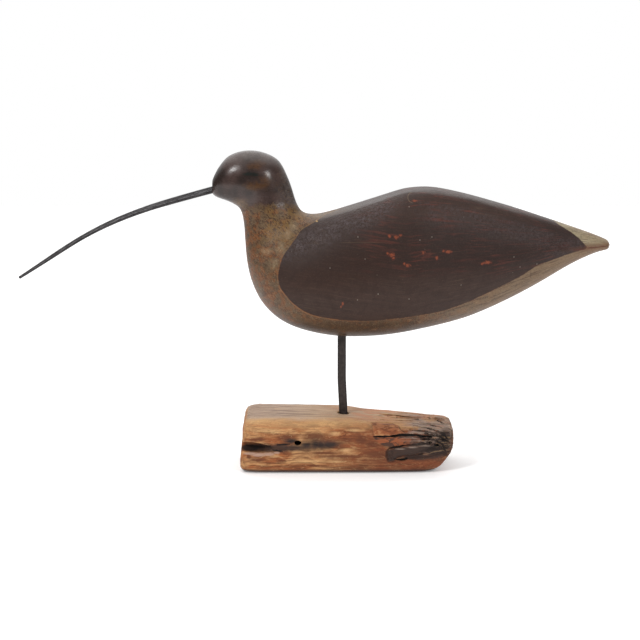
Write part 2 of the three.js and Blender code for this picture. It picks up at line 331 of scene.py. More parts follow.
# a fine, even mesh over the CAD solid's form, its facets rounded and its real edges kept
def refined(nodeName, pieceName, voxel, rounds, sharpAngle):
    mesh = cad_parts[nodeName].data.copy()
    work = bmesh.new()
    work.from_mesh(mesh)
    bmesh.ops.remove_doubles(work, verts=work.verts, dist=0.002 * mm)
    limits = {"angle_face_threshold": math.radians(30), "angle_shape_threshold": math.radians(60)}
    bmesh.ops.join_triangles(work, faces=work.faces, **limits)
    crease = work.edges.layers.float.new("crease_edge")
    for edge in work.edges:
        turn = math.degrees(edge.calc_face_angle(0.0))
        edge[crease] = min(max((turn - sharpAngle) / 20, 0), 1)
    work.to_mesh(mesh)
    work.free()
    piece = addObject(pieceName, mesh)
    soften = piece.modifiers.new("round the facets", "SUBSURF")
    soften.levels = 2
    soften.render_levels = 2
    remesh = piece.modifiers.new("even mesh", "REMESH")
    remesh.mode = "VOXEL"
    remesh.voxel_size = voxel
    smooth = piece.modifiers.new("smooth", "SMOOTH")
    smooth.factor = 0.5
    smooth.iterations = rounds
    applied(piece)
    backToSolid(piece.data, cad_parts[nodeName].data)
    return piece


# rounding the facets draws a mesh in: this moves it out again, evenly, until it lies on the solid
def backToSolid(mesh, solid):
    surface = surfaceOf(solid)
    points = pointsOf(mesh)
    normals = normalsOf(mesh)
    nearest = np.array([surface.find_nearest(Vector(point))[0] for point in points])
    away = np.clip(((nearest - points) * normals).sum(1), -mm, mm)
    ends = np.empty(len(mesh.edges) * 2, dtype=np.int32)
    mesh.edges.foreach_get("vertices", ends)
    first, second = ends.reshape(-1, 2).T
    neighbours = np.bincount(ends, minlength=len(points))
    for turn in range(50):
        total = np.bincount(first, away[second], len(points))
        total += np.bincount(second, away[first], len(points))
        away = (away + total) / (1 + neighbours)
    movePoints(mesh, points + normals * away[:, None])


# no relief may stand out of the solid's own box
def keepInBox(mesh, solid):
    corners = pointsOf(solid)
    movePoints(mesh, np.clip(pointsOf(mesh), corners.min(0), corners.max(0)))


def smoothLine(points, perSpan):
    points = np.array(points, dtype=float)
    points = np.vstack([2 * points[0] - points[1], points, 2 * points[-1] - points[-2]])
    line = []
    for i in range(1, len(points) - 2):
        p0, p1, p2, p3 = points[i - 1:i + 3]
        for f in np.arange(perSpan) / perSpan:
            tangentA = (p2 - p0) / 2
            tangentB = (p3 - p1) / 2
            bend = 2 * (p1 - p2) + tangentA + tangentB
            rise = 3 * (p2 - p1) - 2 * tangentA - tangentB
            line.append(p1 + f * (tangentA + f * (rise + f * bend)))
    line.append(points[-2])
    return np.array(line)


# geometry tree helpers

def newReliefTree(name, sizes):
    return newGroup(name, {"Mesh": "Geometry", **sizes}, {"Mesh": "Geometry"}, "GeometryNodeTree")


# runs a geometry tree on an object and leaves a plain mesh
def runTree(thing, tree, sizes):
    modifier = thing.modifiers.new(tree.name, "NODES")
    modifier.node_group = tree
    for item in tree.interface.items_tree:
        if item.name in sizes:
            modifier[item.identifier] = sizes[item.name]
    applied(thing)


# moves a surface along its normals
def pushed(geometry, distance):
    tree = geometry.tree
    normal = fromNode(tree, "GeometryNodeInputNormal")
    offset = fromNode(tree, "ShaderNodeVectorMath", {0: normal, "Scale": distance}, operation="SCALE")
    return fromNode(tree, "GeometryNodeSetPosition", {"Geometry": geometry, "Offset": offset})


def blurred(field, rounds):
    values = {0: field, "Iterations": rounds}
    return fromNode(field.tree, "GeometryNodeBlurAttribute", values, data_type="FLOAT_VECTOR")


def keptAs(name, geometry, value):
    values = {"Geometry": geometry, "Name": name, "Value": value}
    return fromNode(geometry.tree, "GeometryNodeStoreNamedAttribute", values)


# how far a surface stands out of its smoothed self, in mm, kept for wear
def keepRidge(geometry, rounds):
    position = fromNode(geometry.tree, "GeometryNodeInputPosition")
    normal = fromNode(geometry.tree, "GeometryNodeInputNormal")
    away = {0: position - blurred(position, rounds), 1: normal}
    proud = fromNode(geometry.tree, "ShaderNodeVectorMath", away, "Value", operation="DOT_PRODUCT")
    return keptAs("ridge", geometry, proud / mm)


def finishTree(geometry, result, material):
    tree = geometry.tree
    geometry = fromNode(tree, "GeometryNodeRealizeInstances", {0: geometry})
    geometry = fromNode(tree, "GeometryNodeSetShadeSmooth", {0: geometry})
    feed(result["Mesh"], fromNode(tree, "GeometryNodeSetMaterial", {0: geometry, "Material": material}))


# the carving

carving = {
    "voxel": 1.24 * mm,
    "toolMarks": 0.28 * mm,
    "toolMarkLength": 34 * mm,
    "paintLumps": 0.05 * mm,
    "creaseHeight": 1.3 * mm,
    # the dark paint's edge on the near side, from the nape to the tail and back up, in mm
    "wingEdge": [
        (2.0, 0.0, 239.8), (-1.4, -1.0, 237.9), (-5.1, -5.5, 236.7), (-10.6, -9.4, 235.1),
        (-17.9, -15.6, 232.5), (-24.2, -22.1, 228.5), (-30.5, -24.5, 225.2), (-35.5, -26.0, 222.7),
        (-39.4, -27.8, 219.7), (-41.3, -30.0, 216.4), (-47.8, -33.3, 208.1), (-54.3, -35.2, 198.5),
        (-57.8, -36.5, 188.7), (-58.9, -37.1, 180.1), (-57.6, -37.1, 171.4), (-54.4, -37.7, 165.9),
        (-46.8, -38.2, 157.3), (-36.0, -37.3, 148.8), (-25.1, -37.0, 144.4), (-14.1, -37.2, 142.3),
        (-1.1, -36.9, 140.5), (20.8, -35.9, 139.8), (42.6, -35.3, 141.4), (64.4, -33.4, 143.9),
        (86.4, -30.4, 147.2), (99.6, -29.1, 151.1), (116.1, -27.7, 157.6), (134.7, -26.0, 166.2),
        (154.5, -23.2, 175.7), (168.8, -21.6, 183.8), (174.3, -21.3, 187.7), (186.5, -18.7, 191.9),
        (203.2, -14.6, 197.5), (216.0, -12.6, 201.2), (221.3, -11.6, 203.0), (219.6, -11.3, 205.4),
        (214.4, -10.5, 210.8), (207.2, -9.6, 216.5), (199.8, -9.4, 220.9), (192.7, -7.3, 225.5),
        (188.4, 0.0, 227.7),
    ],
    # the crease along the near side of the back, from the nape to the tail
    "crease": [
        (-36.8, -22.3, 225.4), (-24.2, -22.6, 228.3), (-4.8, -24.5, 233.9), (10.4, -26.3, 238.3),
        (31.1, -25.2, 245.2), (46.3, -23.5, 250.2), (56.5, -23.0, 253.0), (68.0, -26.4, 253.3),
        (78.6, -27.3, 252.4), (104.1, -23.7, 248.3), (117.8, -20.7, 245.8), (138.6, -19.3, 239.2),
        (155.1, -16.7, 234.6), (174.5, -13.0, 229.5), (188.7, -11.1, 224.7), (200.6, -10.4, 219.2),
    ],
}


# how far each point is from a line laid on the carving's near side, with the far side folded over,
# and the number of the line's nearest point
def fromLine(points, line):
    lookup = kdtree.KDTree(len(line))
    for i, point in enumerate(line):
        lookup.insert(point, i)
    lookup.balance()
    folded = points.copy()
    folded[:, 1] = -np.abs(folded[:, 1])
    found = [lookup.find(point) for point in folded]
    index = np.array([hit[1] for hit in found])
    distance = np.array([hit[2] for hit in found])
    return folded, index, distance


# the back meets the sides in a soft crease
def raiseCrease(mesh):
    points = pointsOf(mesh)
    line = smoothLine(carving["crease"], 16) * mm
    folded, index, distance = fromLine(points, line)
    above = np.where(folded[:, 1] > line[index][:, 1], 1, -1) * distance / mm
    ends = np.sin(np.pi * np.clip(index / len(line), 0.02, 0.98)) ** 0.4
    profile = np.exp(0.2 - np.sqrt((above / 6.5) ** 2 + 0.04))
    movePoints(mesh, points + normalsOf(mesh) * (profile * ends * carving["creaseHeight"])[:, None])
    store(mesh, "crease", above)


# signed distance from the wing's painted edge in mm, more than 0 inside the dark paint
def markWingEdge(mesh):
    surface = surfaceOf(mesh)
    line = smoothLine(carving["wingEdge"], 24) * mm
    snapped = [surface.find_nearest(Vector(point)) for point in line]
    line = np.array([hit[0] for hit in snapped])
    normals = np.array([hit[1] for hit in snapped])
    inward = np.cross(normals, np.gradient(line, axis=0))
    inward /= np.linalg.norm(inward, axis=1)[:, None]
    folded, index, distance = fromLine(pointsOf(mesh), line)
    side = ((folded - line[index]) * inward[index]).sum(1)
    store(mesh, "wingEdge", np.sign(side) * distance / mm)


# brush coordinates: x along the bird, z from the belly to the back as a share of 100 mm
def markBrushFlow(mesh):
    points = pointsOf(mesh)
    shelf = np.arange(-0.06, 0.246, 0.004)
    low = []
    high = []
    for x in shelf:
        near = points[np.abs(points[:, 0] - x) < 0.005]
        low.append(near[:, 2].min() if len(near) else 0.19)
        high.append(near[:, 2].max() if len(near) else 0.2)
    ahead = np.maximum(points[:, 0], 0.055)
    low = np.interp(ahead, shelf, low)
    high = np.interp(ahead, shelf, high)
    share = (points[:, 2] - low) / np.maximum(high - low, 0.004)
    slant = 0.1 * np.minimum(points[:, 0], 0.055)
    flow = np.stack([points[:, 0], points[:, 1] * 0.3, share * 0.1 + slant], axis=1)
    store(mesh, "brushFlow", flow)


def carvingRelief(material):
    sizes = {
        "Tool marks": carving["toolMarks"],
        "Mark length": carving["toolMarkLength"],
        "Paint lumps": carving["paintLumps"],
    }
    tree, given, result = newReliefTree("carvingRelief", sizes)
    geometry = keepRidge(given["Mesh"], 14)
    position = fromNode(tree, "GeometryNodeInputPosition")
    along = 1.0 / given["Mark length"]
    across = along * 2.2
    marks = noise(position * joined(along, across, across), 1.0, 1.5, 0.4)
    lumps = noise(position, 260.0, 3.0, 0.55)
    x, y, z = axes(position)
    tip = ease(x, 0.226, 0.243)
    nicks = ease(noise(position, 420.0, 2.0), 0.5, 0.72) * tip
    depth = (marks - 0.45) * given["Tool marks"] + lumps * given["Paint lumps"] + nicks * (0.9 * mm)
    finishTree(pushed(geometry, depth * -1.0), result, material)
    return tree, sizes


paints = {
    "olive": colour(97, 76, 53),
    "rustBrown": colour(126, 75, 37),
    "yellowOlive": colour(126, 92, 36),
    "umber": colour(53, 32, 15),
    "khaki": colour(127, 103, 77),
    "paleGround": colour(146, 124, 94),
    "tailEdge": colour(112, 72, 52),
    "tailTopPaleAndLit": colour(166, 154, 124),
    "wing": colour(52, 31, 21),
    "wingDark": colour(41, 26, 20),
    "wingLight": colour(84, 64, 52),
    "wingDeep": colour(34, 15, 8),
    "wingRed": colour(84, 38, 27),
    "edgeLine": colour(134, 86, 48),
    "chip": colour(142, 68, 38),
    "chipHalo": colour(80, 36, 26),
    "fleck": colour(156, 144, 132),
    "head": colour(73, 58, 54),
    "headDark": colour(47, 38, 35),
    "headUmber": colour(80, 55, 35),
    "eyeSmear": colour(34, 38, 35),
    "speck": colour(196, 158, 96),
    "paintedSheenGrey": colour(112, 103, 98),
    "paintedSheenBlue": colour(98, 86, 88),
}

# chips down to the reddish undercoat: middle and half sizes in mm
chips = [
    ((46.4, -46.0, 216.3), (2.0, 3, 1.1)), ((40.3, -45.6, 217.3), (1.2, 3, 1.2)),
    ((49.7, -45.6, 218.2), (1.0, 3, 0.8)),
    ((42.4, -48.1, 200.9), (1.9, 3, 1.6)), ((43.6, -48.3, 198.1), (1.3, 3, 1.2)),
    ((38.6, -48.0, 202.5), (1.0, 3, 0.8)),
    ((56.4, -48.0, 191.6), (1.9, 3, 1.1)), ((53.4, -48.2, 193.2), (1.0, 3, 0.8)),
    ((92.0, -42.3, 203.1), (2.7, 3, 1.2)),
    ((88.4, -42.9, 204.0), (1.0, 3, 0.9)), ((70.2, -46.1, 203.0), (1.5, 3, 0.9)),
    ((82.2, -44.5, 197.4), (1.1, 3, 1.4)),
    ((128.6, -34.7, 192.8), (2.4, 3, 1.1)), ((124.0, -35.7, 191.6), (1.2, 3, 0.8)),
    ((63.1, -33.0, 247.8), (1.8, 3, 0.8)),
    ((-1.2, -44.8, 156.6), (0.7, 3, 1.3)), ((-2.8, -43.8, 153.9), (0.6, 3, 0.7)),
]

# pale flecks on the dark paint: middle in mm
flecks = [
    (67.2, -45.3, 214.0), (78.0, -43.6, 216.5), (152.7, -29.3, 196.9), (158.7, -26.0, 187.4),
    (174.4, -22.0, 189.6),
    (104.8, -37.3, 172.6), (58.0, -43.5, 160.8), (12.2, -43.5, 216.5), (18.5, -47.9, 197.3),
    (30.2, -47.1, 165.8),
    (11.9, -46.0, 160.3), (-12.6, -46.8, 189.1), (57.8, -36.7, 242.7),
]


def twoBrownPaint():
    finish, shader, where = newFinish("twoBrownPaint", IOR=1.4)
    tree = finish.node_tree
    x, y, z = axes(where)
    edge = attribute(tree, "wingEdge")
    ridge = attribute(tree, "ridge")
    crease = attribute(tree, "crease")
    flow = attribute(tree, "brushFlow", "Vector")

    broad = noise(where, 32.0, 3.0, 0.55)
    mottle = noise(where, 140.0, 4.0, 0.62, 0.3)
    dabs = noise(where, 430.0, 3.0, 0.6, 0.5)
    brushed = noise(where, 620.0, 4.0, 0.68, 1.4)
    stipple = noise(where, 900.0, 2.0, 0.6)
    # short slanting strokes of a dry brush
    rising = (x + z) * 460.0
    falling = (z - x) * 190.0
    hatched = noise(joined(rising, y * 300.0, falling), 1.0, 3.0, 0.65, 0.9)

    # the ground coat: olive, in front and on the neck mottled with rusty brown and dabbed with umber
    toFront = ease(x, -0.03, -0.075)
    toTail = ease(x, 0.05, 0.19)
    rusty = (toFront * 0.5 + 0.46) * ease(toTail, 0.0, 1.0, 1.0, 0.3)
    nape = ease(z, 0.198, 0.216) * ease(x, -0.08, -0.066)
    # the tail's top is laid lighter: paler paint, and painted light from above
    tailTop = ease(x, 0.18, 0.2) * ease(z, 0.2045, 0.209)
    streak = streaksAlong(flow, 0.03, 0.0016, 0.5)
    belly = ease(z, 0.126, 0.152, 1.0, 0.2) * ease(x, 0.03, 0.1, 1.0, 0.35)
    neckTop = ease(z, 0.192, 0.232, 0.5, 0.85)
    dabbing = neckTop * ease(toTail, 0.0, 1.0, 1.0, 0.4)
    ground = coated(paints["olive"], paints, [
        (ease(mottle, 0.43, 0.6), rusty, "rustBrown"),
        (ease(broad, 0.42, 0.55), nape * 0.6, "yellowOlive"),
        (toTail, 0.7, "khaki"),
        (tailTop, 0.75, "tailTopPaleAndLit"),
        (ease(broad, 0.36, 0.58, 0.5, 1.0), belly, "umber"),
        (ease(mottle, 0.55, 0.68), belly * 0.5, "rustBrown"),
        (ease(z, 0.14, 0.124), 0.5, "umber"),
        (ease(hatched, 0.5, 0.58), dabbing, "umber"),
        (ease(streak, 0.48, 0.62), ease(x, 0.0, 0.06, 0.15, 0.55), "umber"),
        (ease(mottle, 0.62, 0.76), 0.4, "paleGround"),
        (ease(brushed, 0.44, 0.36), 0.4, "paleGround"),
    ])

    # the dark paint of the wing, laid on in long strokes
    strokes = streaksAlong(flow, 0.07, 0.0021, 0.45)
    hairs = streaksAlong(flow, 0.05, 0.0009, 0.25)
    redWhere = ease(x, -0.01, 0.05) * ease(z, 0.172, 0.197) * ease(broad, 0.4, 0.58, 0.3, 1.0)
    deep = ease(z, 0.168, 0.195) * ease(z, 0.222, 0.24, 1.0, 0.1)
    middle = ease(z, 0.182, 0.196) * ease(z, 0.212, 0.224, 1.0, 0.0) * ease(x, 0.06, 0.12)
    wing = coated(paints["wing"], paints, [
        (ease(strokes, 0.42, 0.62), 0.35, "wingDark"),
        (ease(hairs, 0.55, 0.68), 0.16, "wingLight"),
        (ease(hairs, 0.45, 0.34), 0.3, "wingDark"),
        (ease(x, -0.03, 0.1, 0.6, 1.0), deep * 0.75, "wingDeep"),
        (ease(strokes, 0.35, 0.6, 0.5, 1.0), middle * 0.6, "wingDeep"),
        (ease(strokes, 0.52, 0.64), redWhere * 0.7, "wingRed"),
        (ease(hairs, 0.54, 0.66), redWhere * 0.4, "wingRed"),
        (ease(dabs, 0.54, 0.68), 0.3, "wingDark"),
        (ease(mottle, 0.46, 0.6), 0.25, "wingDeep"),
    ])
    # a painted sheen: bluish, on the pebbles of the shoulder in a slanting band, and fainter on the upper
    # rear below the crease
    offBand = (z - 0.226) * 0.922 - x * 0.387
    shoulder = ease(abs(offBand), 0.015, 0.0) * ease(x, 0.065, 0.02)
    rear = ease(crease, -6.0, -11.0) * ease(crease, -36.0, -20.0) * ease(x, 0.05, 0.08) * 0.4
    pebbles = ease(brushed * 0.6 + dabs * 0.4, 0.43, 0.58) * ease(mottle, 0.36, 0.6, 0.25, 1.0)
    wing = coated(wing, paints, [
        (pebbles, strongest([shoulder, rear]) * 0.5, "paintedSheenBlue"),
        (ease(stipple, 0.54, 0.66), 0.14, "wingLight"),
    ])

    # pale spots on the neck: painted sheen laid on the brushed paint
    neckSheens = [
        ((-44.9, -22.8, 224.1), (5, 9, 6)), ((-50, -26, 217), (5, 9, 6)), ((-56.4, -32.6, 203.6), (7, 9, 9)),
        ((-70, -27.5, 202), (10, 9, 4)), ((-62, -30, 190), (6, 9, 8)),
    ]
    rubbed = spots(where, neckSheens, 0.9, 200.0, 0.9) * ease(brushed, 0.4, 0.56)
    ground = coated(ground, paints, [(rubbed, 0.7, "paleGround")])

    # the wing's edge wavers as a brush does; in front a thin line of bright ground runs under it
    waver = (noise(where, 90.0, 3.0, 0.6) - 0.5) * 1.6
    ragged = (dabs - 0.5) * 1.1 + waver
    reach = edge + ragged
    wingMask = ease(reach, -0.35, 0.5)
    brightEdge = ease(z, 0.182, 0.157, 0.2, 0.75) * ease(x, 0.02, -0.01, 0.3, 1.0)
    lineMask = ease(reach, -1.7, -0.5) * ease(mottle, 0.35, 0.55, 0.3, 0.9)
    skin = coated(ground, paints, [(lineMask, brightEdge, "edgeLine")])
    skin = blend(wingMask, skin, wing)
    # the back is worn a little olive in front of the shoulder, above its crease
    wornBack = ease(crease, 0.5, 4.0) * ease(x, 0.025, -0.015) * ease(mottle, 0.36, 0.56)
    skin = coated(skin, paints, [(wornBack * wingMask, 0.5, "olive")])

    # chips and flecks in the dark paint
    fleckPlaces = [(middle, (0.62, 3, 0.62)) for middle in flecks]
    grit = fromNode(tree, "ShaderNodeTexVoronoi", {"Vector": where, "Scale": 140.0}, "Distance")
    grit = ease(grit, 0.03, 0.07, 1.0, 0.0) * ease(noise(where, 60.0, 1.0), 0.52, 0.58)
    skin = coated(skin, paints, [
        (spots(where, chips, 1.0, 300.0, 0.9, 2.2), 0.5, "chipHalo"),
        (spots(where, chips, 1.2, 480.0, 0.95, 1.7), 0.75, "chip"),
        (spots(where, fleckPlaces, 0.6, 900.0, 0.6), 0.6, "fleck"),
        (grit, 0.22, "fleck"),
        (spots(where, [((-24.3, -21.5, 228.4), (1.5, 5, 0.9))], 0.5, 600.0, 0.5), 0.8, "speck"),
    ])

    # scratches: many faint straight ones, one long one below the shoulder, one hooked near the crest
    scratchField = noise(flow * (7.0, 60.0, 330.0), 1.0, 1.0, 0.4)
    thin = ease(abs(scratchField - 0.55), 0.0, 0.012, 1.0, 0.0)
    scratches = thin * ease(noise(where, 48.0, 2.0), 0.5, 0.62, 0.0, 0.2)
    longOne = [((20.5, -43.5, 211.8), (25, 9, 0.42)), ((2, -43.5, 211.4), (9, 9, 0.4))]
    long = spots(where, longOne, 0.35, 260.0, 0.6)
    hook = where - (0.0618, -0.034, 0.2512)
    ring = abs(lengthOf(hook * (1.0, 0.4, 1.0)) - 0.0052)
    hook = ease(ring, 0.0001, 0.0006, 0.6, 0.0) * ease(x, 0.062, 0.0595) * ease(y, -0.02, -0.025)
    scratches = strongest([scratches, long * 0.25, hook])
    skin = coated(skin, paints, [(scratches * wingMask, 0.55, "khaki")])

    # the head: glossy, nearly black, rubbed to umber about the cheek, ending softly at the neck
    line = (dabs - 0.5) * 0.008 + ((mottle - 0.5) * 0.016 + z)
    headMask = ease(line, 0.237, 0.245) * ease(x, -0.02, -0.035)
    head = blend(ease(broad, 0.4, 0.62), paints["head"], paints["headDark"])
    cheek = [
        ((-78, -20.8, 260), (17, 14, 6)), ((-79, -17.4, 279), (11, 14, 6)), ((-70, -20, 265.4), (9, 14, 8)),
    ]
    rubbed = spots(where, cheek, 0.8, 160.0, 0.8) * ease(mottle, 0.34, 0.58, 0.3, 0.95)
    head = blend(rubbed, head, paints["headUmber"])
    eye = [((-84.5, -20.4, 270.6), (8.5, 14, 2.0)), ((-80.0, -20.4, 269.6), (5, 14, 1.3))]
    smear = spots(where, eye, 0.5, 300.0, 0.6)
    # painted sheen: the head's top and its nape laid lighter grey
    topSheen = ease(z, 0.276, 0.289) * ease(mottle, 0.35, 0.6, 0.4, 1.0)
    nape = ease(x, -0.062, -0.05) * ease(mottle, 0.35, 0.6, 0.4, 1.0)
    worn = ease(x, -0.066, -0.056) * ease(stipple, 0.58, 0.68)
    head = coated(head, paints, [
        (smear, 0.85, "eyeSmear"),
        (topSheen, 0.55, "paintedSheenGrey"),
        (nape, 0.5, "paintedSheenGrey"),
        (ease(dabs, 0.54, 0.7), 0.3, "headDark"),
        (worn, 0.55, "khaki"),
    ])
    skin = blend(headMask, skin, head)
    skin = coated(skin, paints, [
        (spots(where, [((-93, -8, 245.4), (11, 16, 6))], 0.5, 160.0, 0.9), 0.5, "khaki"),
    ])

    # a knot showing through the breast, the hairline under the tail, the rubbed tip
    hairlines = [((169.2, -18.6, 179.2), (0.38, 5, 6.2)), ((162.0, -18.6, 175), (7.5, 6, 0.3))]
    rubbedTail = rubbedWhere(where, ridge, 0.1, 0.4, 0.7) * ease(x, 0.19, 0.222)
    sideLine = [
        ((226, -9, 203), (9, 8, 0.8)), ((236, -6, 204), (6, 8, 0.7)), ((214, -13, 201.4), (9, 8, 0.6)),
    ]
    skin = coated(skin, paints, [
        (spots(where, [((-71.5, -23.5, 163.4), (4.4, 8, 3.6))], 0.7, 260.0, 0.7), 0.5, "umber"),
        (spots(where, hairlines, 0.25, 500.0, 0.5), 0.6, "umber"),
        (rubbedTail, 0.3, "tailEdge"),
        (spots(where, sideLine, 0.5, 420.0, 0.6), 0.7, "chipHalo"),
    ])

    # gloss: the head most, the ground least, broken by the brush; the back has more along its crease
    sides = ease(crease, -2.0, -9.0, 0.46, 0.56) - shoulder * 0.08
    rough = blendValue(wingMask, 0.46, sides)
    rough = blendValue(headMask, rough, 0.265)
    rough = (mottle - 0.5) * 0.2 + ((strokes - 0.5) * 0.16 + rough)

    # pebbled by the brush high on the shoulder and neck, smoother low down and on the head
    pebbly = shoulder * 1.3 + ease(z, 0.172, 0.214, 0.1, 0.42)
    height = dabs * blendValue(headMask, pebbly, 0.05)
    height = stipple * blendValue(headMask, 0.08, 0.02) + height
    onGround = 1.0 - strongest([headMask, wingMask])
    height = strokes * (wingMask * 0.12) + (brushed * (onGround * 0.22) + height)
    height = hairs * (wingMask * 0.05) + height
    height = mottle * blendValue(headMask, 0.14, 0.06) + height
    height = wingMask * 0.05 + height - scratches * 0.05
    dress(shader, skin, strongest([rough, 0.16]), height, 0.8)
    return finish


def makeCarving():
    piece = refined("carved_body", "paintedCarving", carving["voxel"], 4, 32)
    raiseCrease(piece.data)
    markWingEdge(piece.data)
    markBrushFlow(piece.data)
    runTree(piece, *carvingRelief(twoBrownPaint()))
    keepInBox(piece.data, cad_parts["carved_body"].data)
    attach(piece, "root")
    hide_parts("carved_body")
    print("carving made,", len(piece.data.vertices), "points")


makeCarving()


# the driftwood

driftwood = {
    "voxel": 1.15 * mm,
    "halfDepth": 42 * mm,
    "viewSlope": 0.22,  # how much a point further back shows higher, as seen in the photograph
    "pith": (0.018, -0.058),  # where the heart of the tree ran, y and z in the grain's own measure
    "branch": (0.066, -0.043, -0.007),  # where a branch grew out, in the same measure
    "ringSpacing": 3.4 * mm,
    "dents": 0.9 * mm,
    "strands": 1.0 * mm,
    "ringRelief": 0.22 * mm,
    "grainHeart": 26.4 * mm,  # the height that the strands run together at
}

# flat forms on the front: outline in x and height, and how far it stands out, mm
forms = {
    "flake": ([
        (25.4, 47.6), (36, 48), (46.9, 46.4), (50.4, 44.8), (51.5, 41), (55.3, 38.6), (58.3, 36.6),
        (46.4, 35.4),
        (27.4, 35),
    ], 0.9),
    "shelf": ([
        (27.4, 34), (50.1, 34.4), (70, 34.8), (82, 32.4), (84, 28.9), (76, 27.8), (64, 26.6),
        (53.8, 25.8),
        (41.3, 25), (36, 26.4), (30.5, 29.4),
    ], -0.6),
    "stub": ([
        (38.9, 20.9), (41.3, 23), (47.5, 24), (56.9, 25), (69, 26), (80.5, 28), (84, 27), (80, 23.9),
        (72, 20.2), (56, 17.6), (49, 15.8), (45, 11.9), (41.5, 10.8), (39.2, 14.4),
    ], 1.1),
}

# grooves on the front and over its upper edge, in x and height: path, half width, depth, and how dark the
# painted shade in it is
frontGrooves = [
    ([(27.3, 34.6), (38.3, 34.8), (48.4, 35.5)], 0.5, 2.0, 0.9),
    ([(43, 35.0), (50, 36.0), (58.3, 36.2), (64, 36.4), (70.8, 35.5), (79.4, 34.8)], 0.78, 2.6, 1.0),
    ([(25.4, 48.2), (33, 48.6), (40, 48.4), (46.9, 47.2)], 0.55, 0.9, 0.55),
    ([(50.4, 45.2), (51.5, 41.2), (55.3, 38.8)], 0.5, 0.7, 0.3),
    ([(41.3, 23.8), (46, 24.8), (51.5, 25.5), (54.5, 26.3)], 0.7, 1.8, 0.85),
    ([(54.5, 26.3), (66, 27.4), (80, 29)], 0.55, 1.2, 0.55),
    ([(47.6, 13.4), (52, 13.2), (57.4, 13.9)], 0.9, 2.0, 1.0),
    ([(46, 14.3), (49.2, 15.5), (56, 17.3), (72, 18.8)], 0.5, 1.0, 0.3),
    ([(40.6, 11.4), (38.9, 15.4), (38.6, 20.4), (40.8, 23.4)], 0.55, 1.0, 0.4),
    ([(80.1, 53.7), (86, 51.6), (92.4, 48.5)], 0.8, 2.0, 0.85),
    ([(41.3, 54.6), (50.4, 53), (57.2, 52.3), (70.1, 52.5)], 0.6, 1.8, 0.85),
    ([(58.3, 49.7), (66.3, 49.3)], 0.5, 0.7, 0.5),
    ([(29.2, 54.9), (43.8, 55)], 0.5, 0.7, 0.4),
    ([(83.2, 26.8), (86.2, 26.3)], 0.85, 2.2, 1.0),
    ([(90.3, 31.6), (95.5, 30.6)], 0.5, 1.4, 0.85),
    ([(-60.5, 26.8), (-54, 27.3), (-49, 27.7)], 0.55, 0.9, 0.75),
    ([(-64.5, 22.1), (-60, 21.4), (-55.5, 20.9)], 0.55, 0.9, 0.75),
    ([(-87, 37.8), (-74, 38.3), (-61, 37.9)], 0.45, 0.4, 0.35),
    ([(-20, 39), (0, 39.8), (22, 38)], 0.45, 0.4, 0.35),
    ([(-6, 33.8), (1, 35.4), (2.4, 38.4), (0.6, 39.8)], 0.45, 0.4, 0.3),
    ([(64, 45.6), (78, 43.4), (90, 38.6), (94.5, 33)], 0.45, 1.4, 0.5),
    ([(50, 53.8), (58, 52.8), (68, 51.8), (81, 51.9)], 1.0, 2.4, 0.6),
    ([(70, 48.6), (80, 47.4), (90, 43.4)], 0.45, 1.3, 0.6),
    ([(34, 51.8), (44, 51), (54, 50.6)], 0.45, 0.9, 0.5),
    ([(74, 38.6), (84, 36.6), (91, 33.6)], 0.42, 1.2, 0.5),
    ([(60, 41.6), (74, 40.6), (86, 36.8), (92, 31)], 0.42, 1.0, 0.4),
    ([(70, 32.4), (82, 31.6), (90, 27.4), (93, 21)], 0.45, 1.2, 0.5),
]

# cracks on the sides that the front doesn't show, filled with painted shade: from, to, half width and depth,
# mm
farCracks = [
    ((60, 42, 32.4), (96, 36, 29.4), 1.2, 2.0), ((-40, 42, 18.4), (20, 42.5, 20.4), 1.0, 1.4),
    ((-70, 42, 33.4), (-20, 42.5, 31.4), 0.9, 1.0), ((30, 42, 12.4), (84, 39, 16.4), 1.1, 1.6),
    ((97, -22, 22.4), (100, 8, 19.4), 1.2, 1.8), ((98, -16, 30.4), (99, 14, 27.4), 1.2, 1.8),
    ((97, 4, 33.4), (98, 28, 29.4), 1.1, 1.6), ((84, 6, 41.9), (99, 4, 35.4), 1.8, 3.0),
    ((86, 14, 41.9), (98, 16, 36.4), 1.4, 2.6), ((50, 22, 43.4), (84, 27, 41.4), 1.1, 1.8),
    ((-93, -20, 40.4), (-93, 8, 32.4), 0.9, 1.0), ((-93, 12, 14.4), (-93, 34, 24.4), 0.9, 1.0),
]


# a point's height as it shows from the front and a little above, so that the top's front part counts
def shownHeight(y, z):
    return z + (y + driftwood["halfDepth"]) * driftwood["viewSlope"]


# distance from a line of points in a plane, and how far along it the nearest place is, 0 to 1
def alongPath(across, up, path):
    path = np.array(path) * mm
    best = np.full(len(across), 1.0)
    share = np.zeros(len(across))
    for i in range(len(path) - 1):
        run = path[i + 1] - path[i]
        f = ((across - path[i][0]) * run[0] + (up - path[i][1]) * run[1]) / (run @ run)
        f = np.clip(f, 0, 1)
        away = np.hypot(across - path[i][0] - f * run[0], up - path[i][1] - f * run[1])
        nearer = away < best
        best[nearer] = away[nearer]
        share[nearer] = (i + f[nearer]) / (len(path) - 1)
    return best, share


def smoothStep(values, low, high):
    f = np.clip((values - low) / (high - low), 0, 1)
    return f * f * (3 - 2 * f)


# how far inside an outline a point is, less than 0 outside
def insideBy(across, up, outline):
    away, share = alongPath(across, up, outline + outline[:1])
    inside = np.zeros(len(across), bool)
    corners = np.array(outline) * mm
    for (x0, z0), (x1, z1) in zip(corners, np.roll(corners, -1, axis=0)):
        crosses = (z0 > up) != (z1 > up)
        inside ^= crosses & (across < x0 + (up - z0) * (x1 - x0) / (z1 - z0 + 1e-12))
    return np.where(inside, away, -away)


